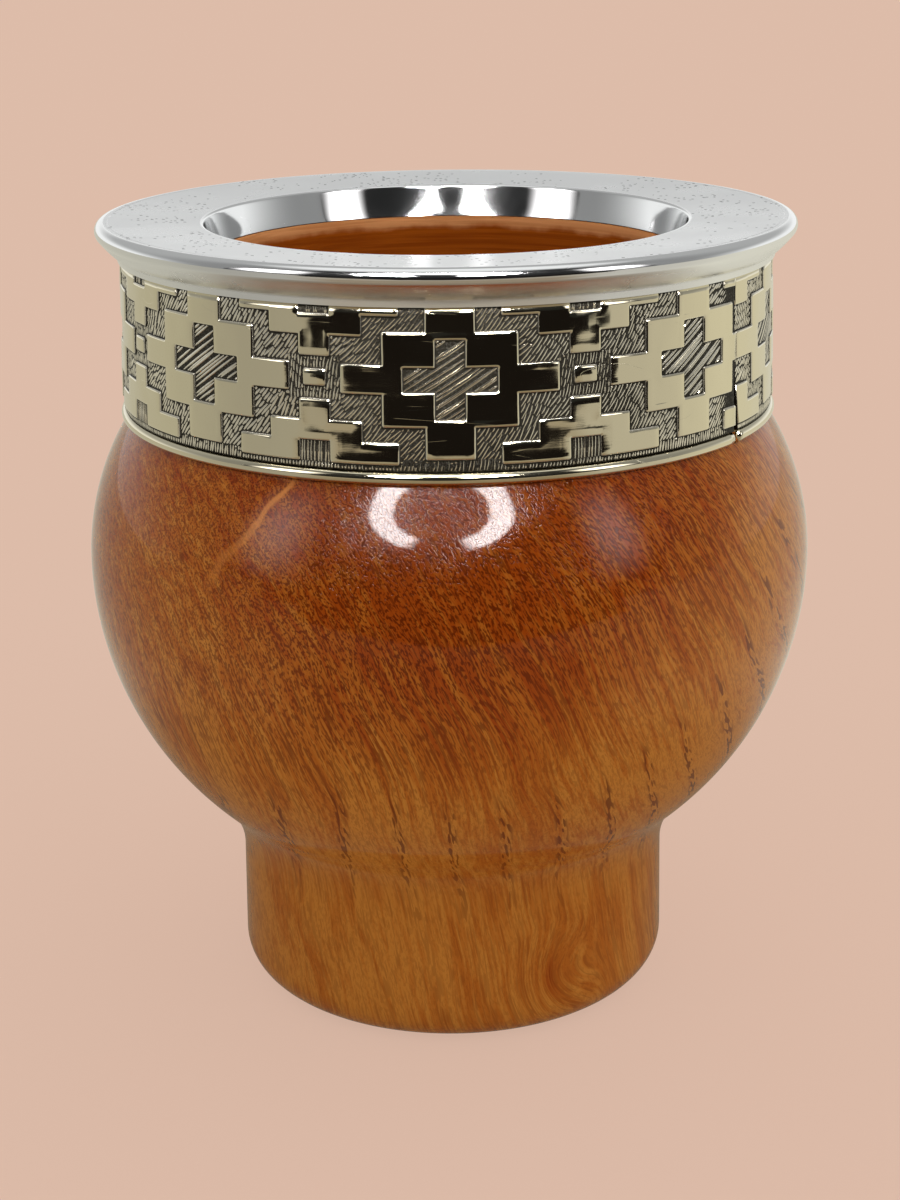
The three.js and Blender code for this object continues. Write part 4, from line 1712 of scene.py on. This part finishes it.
@dataclass
class Studio:
    """Pale floor, soft light and the camera. What the polished metal mirrors from the front is dark."""

    eye: Triple = (0.0, -240.0, 121.56)
    pitch: float = 17.95
    roll: float = 0.62
    lens: float = 66.19
    backdrop: Colour = (0.723, 0.503, 0.397)
    horizon: Colour = (0.66, 0.67, 0.67)
    zenith: Colour = (0.95, 0.95, 0.95)
    right_gain: float = 0.26
    floor_half: float = 4000.0
    floor_seen: Colour = (0.83, 0.578, 0.456)
    floor_light: Colour = (0.82, 0.76, 0.62)
    floor_glow: float = 0.82
    mirrored: Colour = (0.95, 0.96, 0.95)
    mirrored_gain: float = 0.18
    mirrored_foot: Colour = (0.24, 0.19, 0.135)
    mirrored_side: Colour = (0.5, 0.48, 0.42)
    mirrored_rear: Colour = (0.64, 0.62, 0.52)
    mirrored_front: Colour = (0.32, 0.26, 0.18)
    mirrored_strip: Colour = (0.42, 0.37, 0.29)
    mirrored_dark: Colour = (0.01, 0.008, 0.007)
    dark_towards: Triple = (0.06, -0.998, 0.0)
    dark_curve: float = 800.0
    dark_reach: float = 240.0
    dark_blend: float = 26.0
    light_tint: Colour = (1.0, 0.98, 0.98)
    ring_distance: float = 240.0
    ring_centre: Point = (-2.5, 36.4)
    ring_outer: Point = (25.0, 15.2)
    ring_inner: Point = (15.6, 10.2)
    ring_arc: Point = (-73.0, 250.0)
    ring_square: float = 0.6
    ring_strength: float = 56.0
    ring_grid: tuple[int, int] = (97, 13)
    ring_edge: float = 2.0
    ring_end: float = 9.0
    aim: Triple = (0.0, 0.0, 60.0)
    panels: tuple[Glow, ...] = (
        Glow("side_panel_left", (-72.0, -43.0), (4.0, 44.0), 5.0, 900.0),
        Glow("side_panel_right", (42.0, 67.0), (4.0, 44.0), 5.0, 900.0),
        Glow("ring_cover", (-19.0, 14.0), (31.0, 54.0), 0.6, 246.0),
    )
    panel_grid: int = 25
    panel_fade: float = 1.5

    def build(self) -> None:
        """Makes the floor, the light and the camera."""
        scene = bpy.context.scene
        scene.view_settings.view_transform = "Standard"
        self._camera(scene)
        self._world(scene)
        self._floor()
        self._ring_light()
        fade = np.cos(np.linspace(-1, 1, self.panel_grid) * math.pi / 2)
        glow = np.outer(fade, fade) ** self.panel_fade
        for panel in self.panels:
            ranges = [np.linspace(*ends, self.panel_grid) for ends in (panel.azimuth, panel.elevation)]
            directions = np.meshgrid(*ranges, indexing="ij")
            self._lit_sheet(panel.name, directions, glow, panel.strength, panel.distance)

    def _camera(self, scene: bpy.types.Scene) -> None:
        """Puts the camera at the photograph's viewing angle.

        Args:
            scene: scene that it is for.
        """
        data = bpy.data.cameras.new("camera")
        data.lens = self.lens
        data.clip_start = 0.01
        camera = bpy.data.objects.new("camera", data)
        scene.collection.objects.link(camera)
        upright, level = (math.radians(angle) for angle in (90 - self.pitch, -self.roll))
        turn = Matrix.Rotation(upright, 4, "X") @ Matrix.Rotation(level, 4, "Z")
        camera.matrix_world = Matrix.Translation(Vector(self.eye) * MM) @ turn
        scene.camera = camera

    def _world(self, scene: bpy.types.Scene) -> None:
        """Soft light from all round, and the plainer surroundings that the metal mirrors.

        Args:
            scene: scene that it is for.
        """
        world = bpy.data.worlds.new("studio")
        world.use_nodes = True
        world.cycles.sampling_method = "NONE"
        world.node_tree.nodes.clear()
        graph = Graph(world.node_tree)
        x, y, z = graph.parts(graph.node("ShaderNodeTexCoord").outputs["Generated"])
        soft = graph.mix(graph.remap(z, 0.0, 0.9), self.horizon, self.zenith)
        soft = graph.scaled(soft, graph.plus(1.0, graph.times(x, self.right_gain)))
        facing = graph.over(graph.times(y, -1.0), graph.measure("LENGTH", graph.joined(x, y, 0.0)))
        level = graph.plus(
            graph.remap(facing, 0.68, 0.34, 0.0, 0.27),
            graph.times(graph.remap(z, 0.36, 0.0, 0.17, 0.91), graph.remap(facing, 0.2, -0.7)),
            graph.remap(z, 0.8, 0.97, 0.02, 0.8),
        )
        path = graph.node("ShaderNodeLightPath")
        colour = graph.mix(path.outputs["Is Glossy Ray"], soft, graph.mix(level, BLACK, self.mirrored))
        colour = graph.mix(path.outputs["Is Camera Ray"], colour, self.backdrop)
        light = graph.node("ShaderNodeBackground", {"Color": colour, "Strength": 1.0})
        graph.node("ShaderNodeOutputWorld", {"Surface": light.outputs[0]})
        scene.world = world

    def _floor(self) -> None:
        """Wide pale floor, which the polished metal mirrors darker near the cup and in front."""
        half = self.floor_half
        corners = np.array([(-half, -half, 0), (half, -half, 0), (half, half, 0), (-half, half, 0)])
        mesh = bpy.data.meshes.new("floor")
        mesh.from_pydata((corners * MM).tolist(), [], [(0, 1, 2, 3)])
        constants = {"Emission Strength": 1.0, "Roughness": 1.0, "Specular IOR Level": 0.0}
        surface = Surface("floor", None, constants)
        path = surface.node("ShaderNodeLightPath")
        seen, glossy = path.outputs["Is Camera Ray"], path.outputs["Is Glossy Ray"]
        lit = tuple((1 - self.floor_glow) * part for part in self.floor_seen)
        glow = tuple(self.floor_glow * part for part in self.backdrop)
        surface.dress(
            Base_Color=surface.mix(glossy, surface.mix(seen, self.floor_light, lit), BLACK),
            Emission_Color=surface.mix(glossy, surface.mix(seen, BLACK, glow), self._mirrored_floor(surface)),
        )
        mesh.materials.append(surface.material)
        piece_from("floor", mesh)

    def _mirrored_floor(self, floor: Surface) -> Socket:
        """What polished metal and varnish mirror where the floor is: a room that is dark in front.

        Args:
            floor: floor's material.

        Returns:
            The colour.
        """
        x, y, _ = floor.parts(floor.place)
        reach = floor.math("MAXIMUM", floor.measure("LENGTH", floor.joined(x, y, 0.0)), 1.0)
        facing = floor.over(floor.times(y, -1.0), reach)
        around = floor.mix(floor.remap(facing, 0.45, -0.35), self.mirrored_side, self.mirrored_rear)
        around = floor.scaled(around, floor.plus(floor.times(floor.over(x, reach), self.mirrored_gain), 1.0))
        around = floor.mix(floor.remap(reach, 50.0, 110.0), self.mirrored_foot, around)
        front = floor.mix(floor.remap(reach, 50.0, 90.0), self.mirrored_foot, self.mirrored_front)
        front = floor.mix(floor.remap(reach, 165.0, 205.0), front, self.mirrored_strip)
        colour = floor.mix(floor.remap(facing, 0.6, 0.85), around, front)
        ahead = floor.over(floor.measure("DOT_PRODUCT", floor.place, self.dark_towards), reach)
        begin = self.dark_curve + self.dark_reach
        curved = floor.plus(reach, floor.times(ahead, self.dark_curve))
        far = floor.remap(curved, begin, begin + self.dark_blend)
        dark = floor.times(far, floor.remap(ahead, 0.64, 0.67))
        return floor.mix(dark, colour, self.mirrored_dark)

    def _ring_light(self) -> None:
        """Broken ring of light above the camera."""
        long, wide = self.ring_grid
        angles = np.radians(np.linspace(*self.ring_arc, long))
        turn, share = np.meshgrid(angles, np.linspace(0, 1, wide), indexing="ij")
        squared = np.where(np.sin(turn) > 0, self.ring_square, 1.0)
        shapes = zip(self.ring_centre, self.ring_inner, self.ring_outer, (np.cos(turn), np.sin(turn)))
        directions = [
            centre + (inner + share * (outer - inner)) * np.sign(way) * np.abs(way) ** squared
            for centre, inner, outer, way in shapes
        ]
        ends = np.sin(math.pi * np.linspace(0, 1, long))[:, None]
        glow = np.clip(self.ring_edge * np.sin(math.pi * share), 0, 1) * np.clip(self.ring_end * ends, 0, 1)
        self._lit_sheet("ring_light", directions, glow, self.ring_strength, self.ring_distance)

    def _lit_sheet(
        self, name: str, directions: list[np.ndarray], glow: np.ndarray, strength: float, distance: float
    ) -> None:
        """Puts a lit sheet on a sphere round the cup, seen only as a reflection.

        Args:
            name: name of the sheet.
            directions: degrees from the front and over the horizon at each grid point.
            glow: share of the full light at each grid point.
            strength: strength of its light.
            distance: radius of the sphere.
        """
        azimuth, elevation = np.radians(directions)
        level = np.cos(elevation)
        away = np.stack([np.sin(azimuth) * level, -np.cos(azimuth) * level, np.sin(elevation)], axis=-1)
        points = distance * away.reshape(-1, 3) + np.array(self.aim)
        mesh = masked_mesh(name, points, Mask.GLOW, glow, faces=grid_faces(*azimuth.shape))
        surface = Surface(name, None, {"Base Color": (*BLACK, 1.0), "Emission Strength": strength})
        surface.dress(Emission_Color=surface.mix(surface.mask(Mask.GLOW), BLACK, self.light_tint))
        mesh.materials.append(surface.material)
        sheet = piece_from(name, mesh)
        sheet.visible_camera = sheet.visible_diffuse = sheet.visible_shadow = False


def main() -> None:
    """Builds the cup's pieces in order."""
    logging.basicConfig(level=logging.INFO, format="%(name)s %(message)s")
    Studio().build()
    shop = Workshop()
    for assembly in (TurnedBody(), CastRim(), EngravedBand(), LowerBead(), Adhesives()):
        assembly.build(shop)
        LOG.info("%s done", type(assembly).__name__)


if __name__ == "__main__":
    main()
